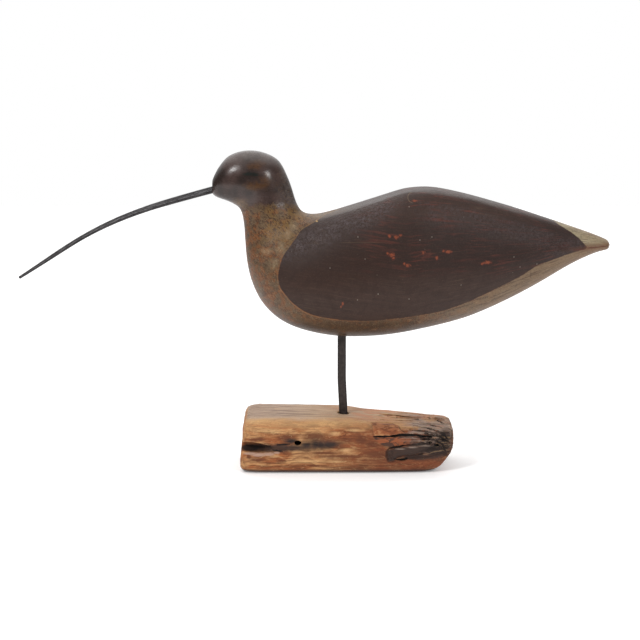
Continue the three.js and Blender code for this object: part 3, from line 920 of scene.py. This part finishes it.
# smaller faces where the wood is cut up most
def splitFinely(piece):
    work = bmesh.new()
    work.from_mesh(piece.data)
    chosen = set()
    for face in work.faces:
        middle = face.calc_center_median()
        front = face.normal.y < -0.3 or (face.normal.z > 0.3 and middle.y < -0.02)
        wornEnd = middle.x > 0.03 and face.normal.z > -0.3 and face.normal.y < 0.5
        if middle.z > 0.0004 and (front or wornEnd):
            chosen.update(face.edges)
    bmesh.ops.subdivide_edges(work, edges=list(chosen), cuts=1, use_grid_fill=True)
    work.to_mesh(piece.data)
    work.free()


def carveWood(mesh):
    points = pointsOf(mesh)
    normals = normalsOf(mesh)
    front = smoothStep(normals @ np.array([0, -0.974, 0.225]), 0.05, 0.35)
    sway = 0.5 * mm * (np.sin(points[:, 0] * 210) + np.sin(points[:, 0] * 533 + 1.7))
    across = points[:, 0]
    up = shownHeight(points[:, 1], points[:, 2]) + 0.15 * sway
    out = np.zeros(len(points))
    crack = np.zeros(len(points))
    for name, (outline, height) in forms.items():
        mask = smoothStep(insideBy(across, up, outline), -0.45 * mm, 0.45 * mm) * front
        out += mask * height * mm
        store(mesh, name, mask)
    for path, half, depth, dark in frontGrooves:
        away, share = alongPath(across, up, path)
        width = half * mm * (0.35 + 0.75 * np.sin(np.pi * np.clip(share, 0.1, 0.95)) ** 0.5)
        groove = np.clip(1 - (away / width) ** 2, 0, 1) * front
        out -= groove * depth * mm
        crack = np.maximum(crack, np.clip(1.3 - away / width, 0, 1) * front * dark)
    for start, end, half, depth in farCracks:
        start = np.array(start) * mm
        run = np.array(end) * mm - start
        share = np.clip((points - start) @ run / (run @ run), 0, 1)
        bent = points + normals[:, [2, 0, 1]] * sway[:, None] * 0.35
        away = np.linalg.norm(bent - start - share[:, None] * run, axis=1)
        width = half * mm * (0.3 + np.sin(np.pi * share) ** 0.5)
        groove = np.clip(1 - (away / width) ** 2, 0, 1)
        out -= groove * depth * mm
        crack = np.maximum(crack, groove)
    points += normals * out[:, None]
    points[:, 2] = np.maximum(points[:, 2], 0)
    movePoints(mesh, points)
    store(mesh, "crack", crack)
    store(mesh, "front", front)
    # the grain runs along the block and draws together towards the worn end
    late = smoothStep(points[:, 0], 0.045, 0.1)
    over = points[:, 2] - driftwood["grainHeart"]
    spread = 1 - late * np.where(over > 0, 0.25, 0.5)
    grain = np.stack([points[:, 0], points[:, 1] / (1 - 0.2 * late), over / spread], axis=1)
    store(mesh, "grain", grain)


# the yearly rings: distance from the heart line and round the branch, pushed about, counted in rings
def ringCount(grain):
    x, y, z = axes(grain)
    pithY, pithZ = driftwood["pith"]
    radius = x * 0.05 + lengthOf(joined(0.0, y - pithY, z - pithZ))
    fromBranch = lengthOf((grain - driftwood["branch"]) * (0.55, 0.6, 1.0))
    radius = radius + ease(fromBranch, 0.0, 0.034, 0.012, 0.0)
    sway = noise(grain * (9.0, 26.0, 26.0), 1.0, 3.0, 0.5, 0.6)
    return (radius + (sway - 0.5) * 0.034) / driftwood["ringSpacing"]


# 0 in the soft early wood, 1 on the hard late wood, fading in and out along the block
def lateWood(grain):
    share = calc("FRACT", ringCount(grain))
    line = ease(share, 0.45, 0.86) * ease(share, 0.88, 1.0, 1.0, 0.0)
    fade = noise(grain * (24.0, 60.0, 60.0), 1.0, 2.0, 0.5)
    return line * ease(fade, 0.36, 0.62, 0.1, 1.0)


def driftwoodRelief(material):
    sizes = {
        "Ring relief": driftwood["ringRelief"],
        "Strands": driftwood["strands"],
        "Dents": driftwood["dents"],
    }
    tree, given, result = newReliefTree("driftwoodRelief", sizes)
    position = fromNode(tree, "GeometryNodeInputPosition")
    normal = fromNode(tree, "GeometryNodeInputNormal")
    grain = fromNode(tree, "GeometryNodeInputNamedAttribute", {"Name": "grain"}, data_type="FLOAT_VECTOR")
    facing = axes(blurred(normal, 5))
    geometry = keptAs("upward", given["Mesh"], facing[2])
    geometry = keptAs("endward", geometry, abs(facing[0]))
    x, y, z = axes(position)
    # long strands stand up where the soft wood has gone, most at the worn end
    uneven = noise(grain * (18.0, 40.0, 40.0), 1.0, 2.0, 0.5)
    worn = ease((uneven - 0.5) * 0.05 + x, 0.045, 0.08) * ease(z, 0.008, 0.018, 0.35, 1.0)
    fibres = noise(grain * (13.0, 260.0, 260.0), 1.0, 3.0, 0.6)
    soft = ease(fibres, 0.4, 0.6, 1.0, 0.0)
    split = ease(abs(fibres - 0.47), 0.0, 0.03, 1.0, 0.0)
    strand = split * 0.45 + soft * 0.75
    broad = noise(position * (22.0, 50.0, 50.0), 1.0, 2.0, 0.5)
    depth = (1.0 - lateWood(grain)) * given["Ring relief"]
    depth = depth + strand * (worn * 0.92 + 0.07) * given["Strands"]
    depth = depth + ease(broad, 0.35, 0.7) * given["Dents"]
    offSole = ease(z, 0.0005, 0.004) * ease(facing[2], -0.8, -0.5)
    geometry = keepRidge(pushed(geometry, depth * offSole * -1.0), 10)
    finishTree(geometry, result, material)
    return tree, sizes


woods = {
    "honey": colour(192, 143, 94),
    "orange": colour(159, 94, 52),
    "brown": colour(98, 54, 32),
    "redBrown": colour(122, 64, 37),
    "lateLine": colour(88, 48, 29),
    "pale": colour(214, 172, 120),
    "greyTop": colour(183, 157, 135),
    "greyLine": colour(128, 104, 88),
    "plank": colour(182, 122, 86),
    "stainAndShade": colour(56, 41, 35),
    "darkStainAndShade": colour(36, 26, 22),
    "silver": colour(166, 146, 132),
    "charGrey": colour(56, 44, 39),
    "flakeWood": colour(150, 84, 51),
    "lip": colour(172, 140, 122),
    "black": colour(16, 11, 9),
}

# marks on the front, in x and height, middle and half sizes, mm
marks = {
    "arches": [
        ((-52, 33.2), (15, 4.8)), ((-25, 34.4), (20, 5.4)), ((15.6, 31.5), (11, 5)),
        ((-20, 19.4), (24, 2)),
        ((-78, 12.8), (9, 2.2)), ((-56.2, 12.4), (7, 2.2)), ((-85.9, 16), (3, 3.2)), ((26, 27), (8, 5)),
        ((2, 31.3), (9, 3.6)), ((-78, 32), (14, 3)), ((-4, 16.4), (34, 3)), ((30, 17), (16, 4)),
    ],
    "stainAndShade": [
        ((-22, 27), (24, 8.4)), ((-34, 26.4), (13, 8)), ((-47, 30.4), (11, 3.6)), ((-13, 27), (18, 6))
    ],
    "band": [((-58, 24), (24, 6)), ((-71, 24), (19, 6.2)), ((-46, 24), (12, 5))],
    "hollow": [((-84, 24.4), (14.5, 4.9))],
    "hole": [((-41.8, 28.9), (3.4, 2.7))],
    "lip": [
        ((-85, 19), (8, 1.8)), ((-77, 17.8), (10, 2.2)), ((-68, 18.4), (8, 2.0)), ((-61, 19.6), (4, 1.4))
    ],
    "streaks": [
        ((-23.5, 7.6), (17, 1.0)), ((-38.4, 5), (7, 0.6)), ((-67, 6.4), (12, 0.8)), ((2, 5.4), (22, 0.8)),
        ((36, 7.4), (16, 0.8)), ((20, 13), (14, 0.9)), ((58, 9), (15, 0.8)), ((-62, 37), (16, 0.7)),
    ],
    "pale": [
        ((-33, 11.8), (21, 2.0)), ((-8, 37.4), (9, 3.2)), ((-12, 15.4), (9, 2)), ((-62, 16), (8, 1.6)),
        ((-6, 11.4), (14, 1.6)), ((10, 40.5), (14, 2.2)), ((2, 22), (8, 2.4)), ((-70, 40), (16, 2)),
    ],
    "stubTopHighlight": [((51, 23.2), (7, 0.9)), ((62, 24.6), (8, 0.9)), ((74, 26.1), (8, 0.9))],
    "darkEnd": [((85, 21), (17, 10)), ((91, 27), (8, 11)), ((70, 15.6), (30, 4)), ((93, 36), (7, 12))],
    "redTop": [
        ((65, 52.8), (18, 1.5)), ((88, 50.8), (9, 2.6)), ((44, 55), (13, 1.1)), ((56, 49.4), (14, 0.9))
    ],
    "bright": [((79, 10.6), (9, 2.8)), ((62, 42), (9, 3.4)), ((56, 40), (5, 3)), ((83, 51.5), (12, 3.6))],
}


def weatheredWood():
    finish, shader, where = newFinish("weatheredWood", IOR=1.38)
    tree = finish.node_tree
    x, y, z = axes(where)
    grain = attribute(tree, "grain", "Vector")
    front = attribute(tree, "front")
    upward = attribute(tree, "upward")
    endward = attribute(tree, "endward")
    ridge = attribute(tree, "ridge")
    crack = attribute(tree, "crack")
    shown = shownHeight(y, z)
    seen = joined(x, 0.0, shown)

    def mark(name, ragged=0.5, scale=110.0, softness=0.7, shownOn=front):
        places = [((a, 0, b), (c, 10, d)) for (a, b), (c, d) in marks[name]]
        return spots(seen, places, ragged, scale, softness) * shownOn

    # inside the hollow and the nail hole too
    nearFront = ease(y, -0.02, -0.03)
    late = lateWood(grain)
    fine = streaksAlong(grain, 0.02, 0.0009, 0.4)
    long = streaksAlong(grain, 0.07, 0.0024, 0.8)
    cloud = noise(grain * (16.0, 60.0, 60.0), 1.0, 4.0, 0.6, 1.2)
    patch = noise(grain * (45.0, 120.0, 120.0), 1.0, 3.0, 0.6, 0.6)
    pores = noise(where * (500.0, 1000.0, 1000.0), 1.0, 2.0, 0.6)

    # the front: honey and orange in clouded figure, browner to the right and low down
    fleck = noise(grain * (110.0, 330.0, 330.0), 1.0, 4.0, 0.7, 1.6)
    wood = blend(ease(cloud, 0.4, 0.6), woods["honey"], woods["orange"])
    side = (cloud - 0.5) * 0.09 + x
    browner = ease(side, -0.028, 0.042) * ease(shown, 0.036, 0.047, 0.9, 0.1)
    wood = blend(browner, wood, woods["redBrown"])
    lighter = 1.0 - browner * 0.75
    lift = ease(shown, 0.038, 0.048)
    wood = coated(wood, woods, [
        (ease(patch, 0.53, 0.64), browner * 0.25 + 0.42, "brown"),
        (ease(patch, 0.42, 0.3), lighter * 0.6, "pale"),
        (late, 0.5, "lateLine"),
        (ease(long, 0.52, 0.66), 0.5, "brown"),
        (ease(fine, 0.5, 0.64), 0.5, "lateLine"),
        (mark("pale", 0.55, 90.0, 0.95), 0.65, "pale"),
        (mark("streaks", 0.7, 260.0), 0.85, "brown"),
        (mark("arches", 0.6, 110.0, 0.85), 0.9, "brown"),
        (ease(fleck, 0.54, 0.66), browner * 0.2 + 0.32, "lateLine"),
        (ease(fleck, 0.44, 0.34), lighter * 0.4, "pale"),
        (lift * front, 0.4, "pale"),
    ])

    # the top: grey tan with long lines, tan planks and silver strands to the right
    cloudLow = (cloud - 0.5) * 0.012 + shown
    top = ease(cloudLow, 0.0485, 0.054) * ease(upward, 0.6, 0.9)
    grey = blend(ease(long, 0.4, 0.66), woods["greyTop"], woods["greyLine"])
    plank = ease(side, -0.03, 0.035) * ease(patch, 0.4, 0.54)
    grey = coated(grey, woods, [
        (ease(fine, 0.48, 0.7), 0.6, "greyLine"),
        (ease(patch, 0.4, 0.26), 0.4, "pale"),
        (ease(x, -0.06, -0.015), 0.25, "pale"),
        (plank, 0.85, "plank"),
    ])
    wood = blend(top, wood, grey)
    # the edge between them is rubbed pale
    edge = ease(abs(shown - 0.0505), 0.004, 0.001) * ease(long, 0.35, 0.6)
    wood = coated(wood, woods, [(edge * ease(y, -0.02, -0.03), 0.5, "pale")])

    # stains round the nail hole; painted shade, black, in the rotted hollow and the nail hole
    stainTone = blend(ease(fine, 0.4, 0.62), woods["stainAndShade"], woods["darkStainAndShade"])
    wood = coated(wood, woods, [
        (mark("stainAndShade", 0.35, 90.0, 0.85), 1.0, stainTone),
        (mark("band", 0.3, 120.0, 0.7, nearFront), 0.92, stainTone),
        (mark("lip", 0.3, 200.0, 0.6), 0.9, "lip"),
        (mark("hollow", 0.25, 160.0, 0.55, nearFront), 0.97, "black"),
        (mark("hole", 0.1, 300.0, 0.3, nearFront), 1.0, "black"),
    ])

    # the worn end: the flake, grey and reddish strands, the dark end, orange left low down
    smudge = noise(grain * (90.0, 170.0, 170.0), 1.0, 3.0, 0.6, 1.0)
    flake = attribute(tree, "flake")
    shelf = attribute(tree, "shelf")
    wood = coated(wood, woods, [
        (flake, 0.6, "flakeWood"),
        (flake * ease(smudge, 0.5, 0.6), 0.75, "brown"),
        (flake * ease(smudge, 0.44, 0.36), 0.5, "honey"),
        (shelf, 0.8, blend(ease(smudge, 0.46, 0.56), woods["flakeWood"], woods["charGrey"])),
    ])
    reach = (cloud - 0.5) * 0.035 + x
    greyed = ease(reach, 0.05, 0.07) * ease(shown, 0.0145, 0.0225)
    greyed = greyed * ease(top * plank, 0.0, 0.7, 1.0, 0.45) * (1.0 - mark("bright", 0.8, 130.0))
    strands = noise(grain * (14.0, 420.0, 420.0), 1.0, 3.0, 0.62, 0.3)
    silver = blend(ease(strands, 0.44, 0.55), woods["charGrey"], woods["silver"])
    hair = noise(grain * (26.0, 900.0, 900.0), 1.0, 2.0, 0.6, 0.3)
    endGrain = blend(ease(smudge, 0.4, 0.64), woods["stainAndShade"], woods["brown"])
    silver = coated(silver, woods, [
        (ease(hair, 0.5, 0.57), 0.6, "stainAndShade"),
        (ease(hair, 0.46, 0.36), 0.65, "silver"),
        (ease(smudge, 0.5, 0.62), 0.7, "flakeWood"),
        (ease(shown, 0.0365, 0.0295), 0.5, "charGrey"),
        (ease(shown, 0.037, 0.044), 0.4, "silver"),
        (ease(endward, 0.5, 0.8), 0.75, endGrain),
    ])
    endTone = blend(ease(strands, 0.45, 0.6), woods["darkStainAndShade"], woods["charGrey"])
    stub = attribute(tree, "stub")
    stubWood = blend(ease(fine, 0.42, 0.6), woods["charGrey"], woods["stainAndShade"])
    wood = coated(wood, woods, [
        (greyed, 0.9, silver),
        (mark("darkEnd", 0.5, 110.0, 0.6, nearFront), 0.92, endTone),
        (mark("redTop", 0.7, 220.0, 0.8, upward), 0.8, "brown"),
        (stub, 0.95, stubWood),
        # painted highlight: pale along the stub's top edge
        (mark("stubTopHighlight", 0.4, 260.0, 0.9), 0.6, "silver"),
    ])

    # painted shade: dark in the hollows of the relief, black in the cracks, dark along the sole; pale on
    # what is rubbed
    offStub = 1.0 - stub
    rubbed = rubbedWhere(where, ridge, 0.1, 0.4, 0.25)
    wood = coated(wood, woods, [
        (ease(pores, 0.56, 0.72), 0.3, "lateLine"),
        (ease(ridge, -0.08, -0.5), 0.6, "darkStainAndShade"),
        (ease(crack, 0.15, 0.75), 0.95, "black"),
        (rubbed * offStub, 0.2, "pale"),
        (ease(z, 0.0044, 0.0022), 0.85, "stainAndShade"),
    ])

    height = late * 0.12 + fine * -0.35
    ribbed = greyed * ease(endward, 0.5, 0.8, 1.1, 0.3)
    height = pores * 0.1 + (fleck * 0.1 + (strands * ribbed + height))
    dress(shader, wood, fine * 0.2 + 0.62, height, 0.9)
    return finish


def makeDriftwood():
    piece = refined("driftwood_base", "weatheredDriftwood", driftwood["voxel"], 3, 40)
    splitFinely(piece)
    carveWood(piece.data)
    runTree(piece, *driftwoodRelief(weatheredWood()))
    points = pointsOf(piece.data)
    points[:, 2] = np.maximum(points[:, 2], 0)
    movePoints(piece.data, points)
    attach(piece, "root")
    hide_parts("driftwood_base")
    print("driftwood made,", len(piece.data.vertices), "points,", len(piece.data.polygons), "faces")


makeDriftwood()


# the bill

bill = {
    "seat": (-119.154, 0, 254.863),  # where it leaves the head, mm
    "length": 196.5,
    "inHead": 20.0,
    "thickness": [6.4, 5.9, 5.2, 4.4, 3.95, 2.6],  # head to tip, in equal steps
    "droop": [14.8, 16.9, 24.3, 32.6, 32.3],  # degrees below level
    "steps": 230,
    "sides": 28,
    "fullness": 1.7,
    "fileMarks": 0.07 * mm,
}


def evenValue(values, share):
    line = smoothLine([(0, v) for v in values], 40)[:, 1]
    return np.interp(share, np.linspace(0, 1, len(line)), line)


def billPath():
    shares = np.linspace(0, 1, bill["steps"] + 1)
    middles = (shares[1:] + shares[:-1]) / 2
    heading = np.radians(evenValue(bill["droop"], middles))
    step = bill["length"] / bill["steps"]
    x = bill["seat"][0] - np.concatenate([[0], np.cumsum(np.cos(heading) * step)])
    z = bill["seat"][2] - np.concatenate([[0], np.cumsum(np.sin(heading) * step)])
    thick = evenValue(bill["thickness"], shares)
    # the tip is rounded off over its last part
    tip = math.radians(bill["droop"][-1])
    reach = thick[-1] * np.array([0.1, 0.18, 0.23, 0.25])
    x = np.concatenate([x, x[-1] - reach * math.cos(tip)])
    z = np.concatenate([z, z[-1] - reach * math.sin(tip)])
    thick = np.concatenate([thick, thick[-1] * np.array([0.86, 0.66, 0.4, 0.15])])
    first = math.radians(bill["droop"][0])
    rootSteps = np.linspace(bill["inHead"], 1, 12)
    x = np.concatenate([bill["seat"][0] + rootSteps * math.cos(first), x])
    z = np.concatenate([bill["seat"][2] + rootSteps * math.sin(first), z])
    thick = np.concatenate([np.full(12, thick[0]), thick])
    return x * mm, z * mm, thick * mm


def billTree(material):
    sizes = {"Sides": bill["sides"], "Fullness": bill["fullness"], "File marks": bill["fileMarks"]}
    tree, given, result = newReliefTree("billSweep", sizes)
    path = fromNode(tree, "GeometryNodeMeshToCurve", {0: given["Mesh"]})
    path = fromNode(tree, "GeometryNodeSetCurveNormal", {0: path}, mode="Z_UP")
    # the filed section: a circle of points pulled towards a lozenge
    circle = fromNode(
        tree, "GeometryNodeCurvePrimitiveCircle", {"Resolution": given["Sides"], "Radius": 0.5}
    )
    position = fromNode(tree, "GeometryNodeInputPosition")
    power = 2.0 / given["Fullness"]
    squared = [
        abs(share) ** power * calc("SIGN", share) * 0.5 for share in axes(position * (2.0, 2.0, 2.0))[:2]
    ]
    section = fromNode(tree, "GeometryNodeSetPosition", {0: circle, "Position": joined(*squared, 0.0)})
    thickness = fromNode(tree, "GeometryNodeInputNamedAttribute", {"Name": "thickness"})
    sweep = {"Curve": path, "Profile Curve": section, "Scale": thickness, "Fill Caps": True}
    geometry = fromNode(tree, "GeometryNodeCurveToMesh", sweep)
    # file and hammer marks
    marks = noise(position * (160.0, 260.0, 160.0), 1.0, 3.0, 0.6)
    finishTree(pushed(geometry, marks * given["File marks"] * -1.0), result, material)
    return tree, sizes


def filedIron():
    finish, shader, where = newFinish("filedIron", Metallic=0.7)
    tree = finish.node_tree
    shades = {"Dark": colour(38, 36, 37), "Light": colour(58, 56, 57), "Rust": colour(92, 58, 46)}
    skin = useGroup(ironSkin, Vector=where, Rusted=0.2, **shades)
    # file strokes along it, and a painted highlight: pale along its front ridge and its upper edge
    x, y, z = axes(where)
    along = z * 0.42 + x * 0.91
    over = z * 0.91 - x * 0.42
    filed = joined(along * 45.0, y * 900.0, over * 900.0)
    filed = noise(filed, 1.0, 3.0, 0.6)
    tone = blend(ease(filed, 0.5, 0.7) * 0.5, skin["Color"], colour(104, 102, 104))
    tone = blend(ease(filed, 0.45, 0.3) * 0.5, tone, colour(34, 32, 33))
    facing = axes(attribute(tree, "facing", "Vector"))
    corner = strongest(
        [ease(facing[1] * -1.0, 0.965, 0.998), ease(facing[2] * 0.91 - facing[0] * 0.42, 0.9, 0.98)]
    )
    paleEdges = corner * ease(noise(where, 130.0, 3.0), 0.36, 0.56, 0.25, 0.75)
    tone = blend(paleEdges, tone, colour(150, 148, 150))
    spot = spots(where, [((-279.5, 0, 172.9), (2.2, 4, 1.8))], 0.8, 600.0, 0.6)
    tone = blend(spot * 0.8, tone, colour(112, 54, 48))
    dress(shader, tone, filed * 0.15 + (skin["Roughness"] - 0.1), filed * 0.15 + skin["Height"], 0.5)
    return finish


def makeBill():
    x, z, thick = billPath()
    path = bpy.data.meshes.new("billPath")
    count = len(x)
    path.from_pydata([(a, 0, b) for a, b in zip(x, z)], [(i, i + 1) for i in range(count - 1)], [])
    store(path, "thickness", thick)
    piece = addObject("forgedBill", path)
    runTree(piece, *billTree(filedIron()))
    keepInBox(piece.data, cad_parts["bill"].data)
    store(piece.data, "facing", normalsOf(piece.data))
    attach(piece, "root")
    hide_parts("bill")
    print("bill made,", len(piece.data.vertices), "points")


makeBill()


# the leg

leg = {
    "bar": 7.9 * mm,
    "corner": 1.7 * mm,
    "woodTop": 48.86 * mm,
    "free": 71.1 * mm,
    "inBase": 26 * mm,
    "inBody": 36 * mm,
    "crook": 1.4 * mm,
    "facet": 0.55 * mm,
    "hammerMarks": 0.12 * mm,
}


def legTree(material):
    sizes = {
        "Bar": leg["bar"],
        "Corner": leg["corner"],
        "Wood top": leg["woodTop"],
        "Free length": leg["free"],
        "In base": leg["inBase"],
        "In body": leg["inBody"],
        "Crook": leg["crook"],
        "Hammer marks": leg["hammerMarks"],
    }
    tree, given, result = newReliefTree("legSweep", sizes)
    low = given["Wood top"] - given["In base"]
    high = given["Wood top"] + given["Free length"] + given["In body"]
    ends = {"Start": joined(0.0, 0.0, low), "End": joined(0.0, 0.0, high)}
    bar = fromNode(tree, "GeometryNodeCurvePrimitiveLine", ends, mode="POINTS")
    path = fromNode(tree, "GeometryNodeResampleCurve", {0: bar, "Count": 180})
    position = fromNode(tree, "GeometryNodeInputPosition")
    bendEnd = given["Free length"] * 0.5 + given["Wood top"]
    lean = ease(axes(position)[2], given["Wood top"], bendEnd) * given["Crook"] * -1.0
    bent = fromNode(tree, "GeometryNodeSetPosition", {0: path, "Offset": joined(lean, 0.0, 0.0)})
    sides = {"Width": given["Bar"], "Height": given["Bar"]}
    square = fromNode(tree, "GeometryNodeCurvePrimitiveQuadrilateral", sides, mode="RECTANGLE")
    corners = {0: square, "Count": 2, "Radius": given["Corner"]}
    section = fromNode(tree, "GeometryNodeFilletCurve", corners, mode="POLY")
    section = fromNode(
        tree, "GeometryNodeResampleCurve", {0: section, "Length": leg["facet"]}, mode="LENGTH"
    )
    sweep = {"Curve": bent, "Profile Curve": section, "Fill Caps": True}
    geometry = fromNode(tree, "GeometryNodeCurveToMesh", sweep)
    dents = noise(position * (190.0, 190.0, 110.0), 1.0, 2.0, 0.5)
    geometry = keepRidge(pushed(geometry, dents * given["Hammer marks"] * -1.0), 4)
    finishTree(geometry, result, material)
    return tree, sizes


def hammeredIron():
    finish, shader, where = newFinish("hammeredIron", Metallic=0.4)
    tree = finish.node_tree
    shades = {"Dark": colour(44, 37, 35), "Light": colour(62, 54, 51), "Rust": colour(80, 52, 42)}
    skin = useGroup(ironSkin, Vector=where, Rusted=0.3, **shades)
    ridge = attribute(tree, "ridge")
    paleEdges = rubbedWhere(where, ridge, 0.03, 0.14, 0.08)
    tone = blend(paleEdges * 0.2, skin["Color"], colour(96, 86, 82))
    # painted shade: the bar's rounded corners darkened, as a dark reflection on them
    facing = axes(attribute(tree, "facing", "Vector"))
    corner = ease(abs(facing[0] * facing[1]), 0.15, 0.4)
    tone = blend(corner * 0.75, tone, colour(26, 22, 21))
    dress(shader, tone, skin["Roughness"], skin["Height"], 0.7)
    return finish


def makeLeg():
    piece = addObject("ironLeg", bpy.data.meshes.new("ironLeg"))
    runTree(piece, *legTree(hammeredIron()))
    store(piece.data, "facing", normalsOf(piece.data))
    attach(piece, "root")
    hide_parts("leg")
    print("leg made,", len(piece.data.vertices), "points")


makeLeg()


# the studio: a pale floor, two soft boxes in front, a broad soft light overhead, a white backdrop

studio = {
    "camera": (-0.0215, -1.6, 0.3874),
    "tilt": 8.966,
    "lens": 99.04,
    "floor": colour(247, 246, 246),
    "table": (1.7, -0.62, 2.6),  # half its width, its front edge, its back edge
    "leftBox": {"place": (-0.92, -1.11, 1.245), "size": (0.38, 0.42), "power": 15.8},
    "rightBox": {"place": (0.877, -1.25, 0.907), "size": (0.26, 0.36), "power": 9.4},
    "overhead": 1.66,
}


def makeCamera():
    data = bpy.data.cameras.new("camera")
    data.lens = studio["lens"]
    data.sensor_width = 36
    camera = addObject("camera", data)
    camera.location = studio["camera"]
    camera.rotation_euler = (math.radians(90 - studio["tilt"]), 0, 0)
    bpy.context.scene.camera = camera


def makeFloor():
    data = bpy.data.meshes.new("floor")
    half, front, back = studio["table"]
    corners = [(-half, front, 0), (half, front, 0), (half, back, 0), (-half, back, 0)]
    data.from_pydata(corners, [], [(0, 1, 2, 3)])
    floor = addObject("floor", data)
    floor.location.z = -0.0002
    gloss = {"Roughness": 0.9, "Specular_IOR_Level": 0.1, "Emission_Strength": 1.0}
    matte, shader, where = newFinish("matteFloor", Base_Color=studio["floor"], **gloss)
    # further off it brightens into the backdrop
    glow = ease(lengthOf(where), 0.1, 0.8, 0.17, 0.3)
    feed(shader.inputs["Emission Color"], joined(glow, glow, glow))
    data.materials.append(matte)


def addSoftBox(name, box):
    data = bpy.data.lights.new(name, "AREA")
    data.shape = "RECTANGLE"
    data.size, data.size_y = box["size"]
    data.energy = box["power"]
    light = addObject(name, data)
    light.location = box["place"]
    aim = Vector((-0.03, 0, 0.2)) - Vector(box["place"])
    light.rotation_euler = aim.to_track_quat("-Z", "Y").to_euler()
    light.visible_camera = False


def makeLights():
    for name in ("leftBox", "rightBox"):
        addSoftBox(name, studio[name])


def makeBackdrop():
    world = bpy.data.worlds.new("studio")
    world.use_nodes = True
    bpy.context.scene.world = world
    tree = world.node_tree
    tree.nodes.clear()
    x, y, z = axes(fromNode(tree, "ShaderNodeTexCoord", output="Generated"))
    glow = ease(y * 0.5 + z * 0.9, 0.3, 0.95, 0.0, studio["overhead"])
    seen = fromNode(tree, "ShaderNodeLightPath", output="Is Camera Ray")
    light = {"Color": (1, 1, 1, 1), "Strength": blendValue(seen, glow, 1.0)}
    addNode(tree, "ShaderNodeOutputWorld", {0: fromNode(tree, "ShaderNodeBackground", light)})


makeCamera()
makeFloor()
makeLights()
makeBackdrop()
bpy.context.scene.view_settings.view_transform = "Standard"
bpy.context.scene.view_settings.look = "None"
print("studio set up")
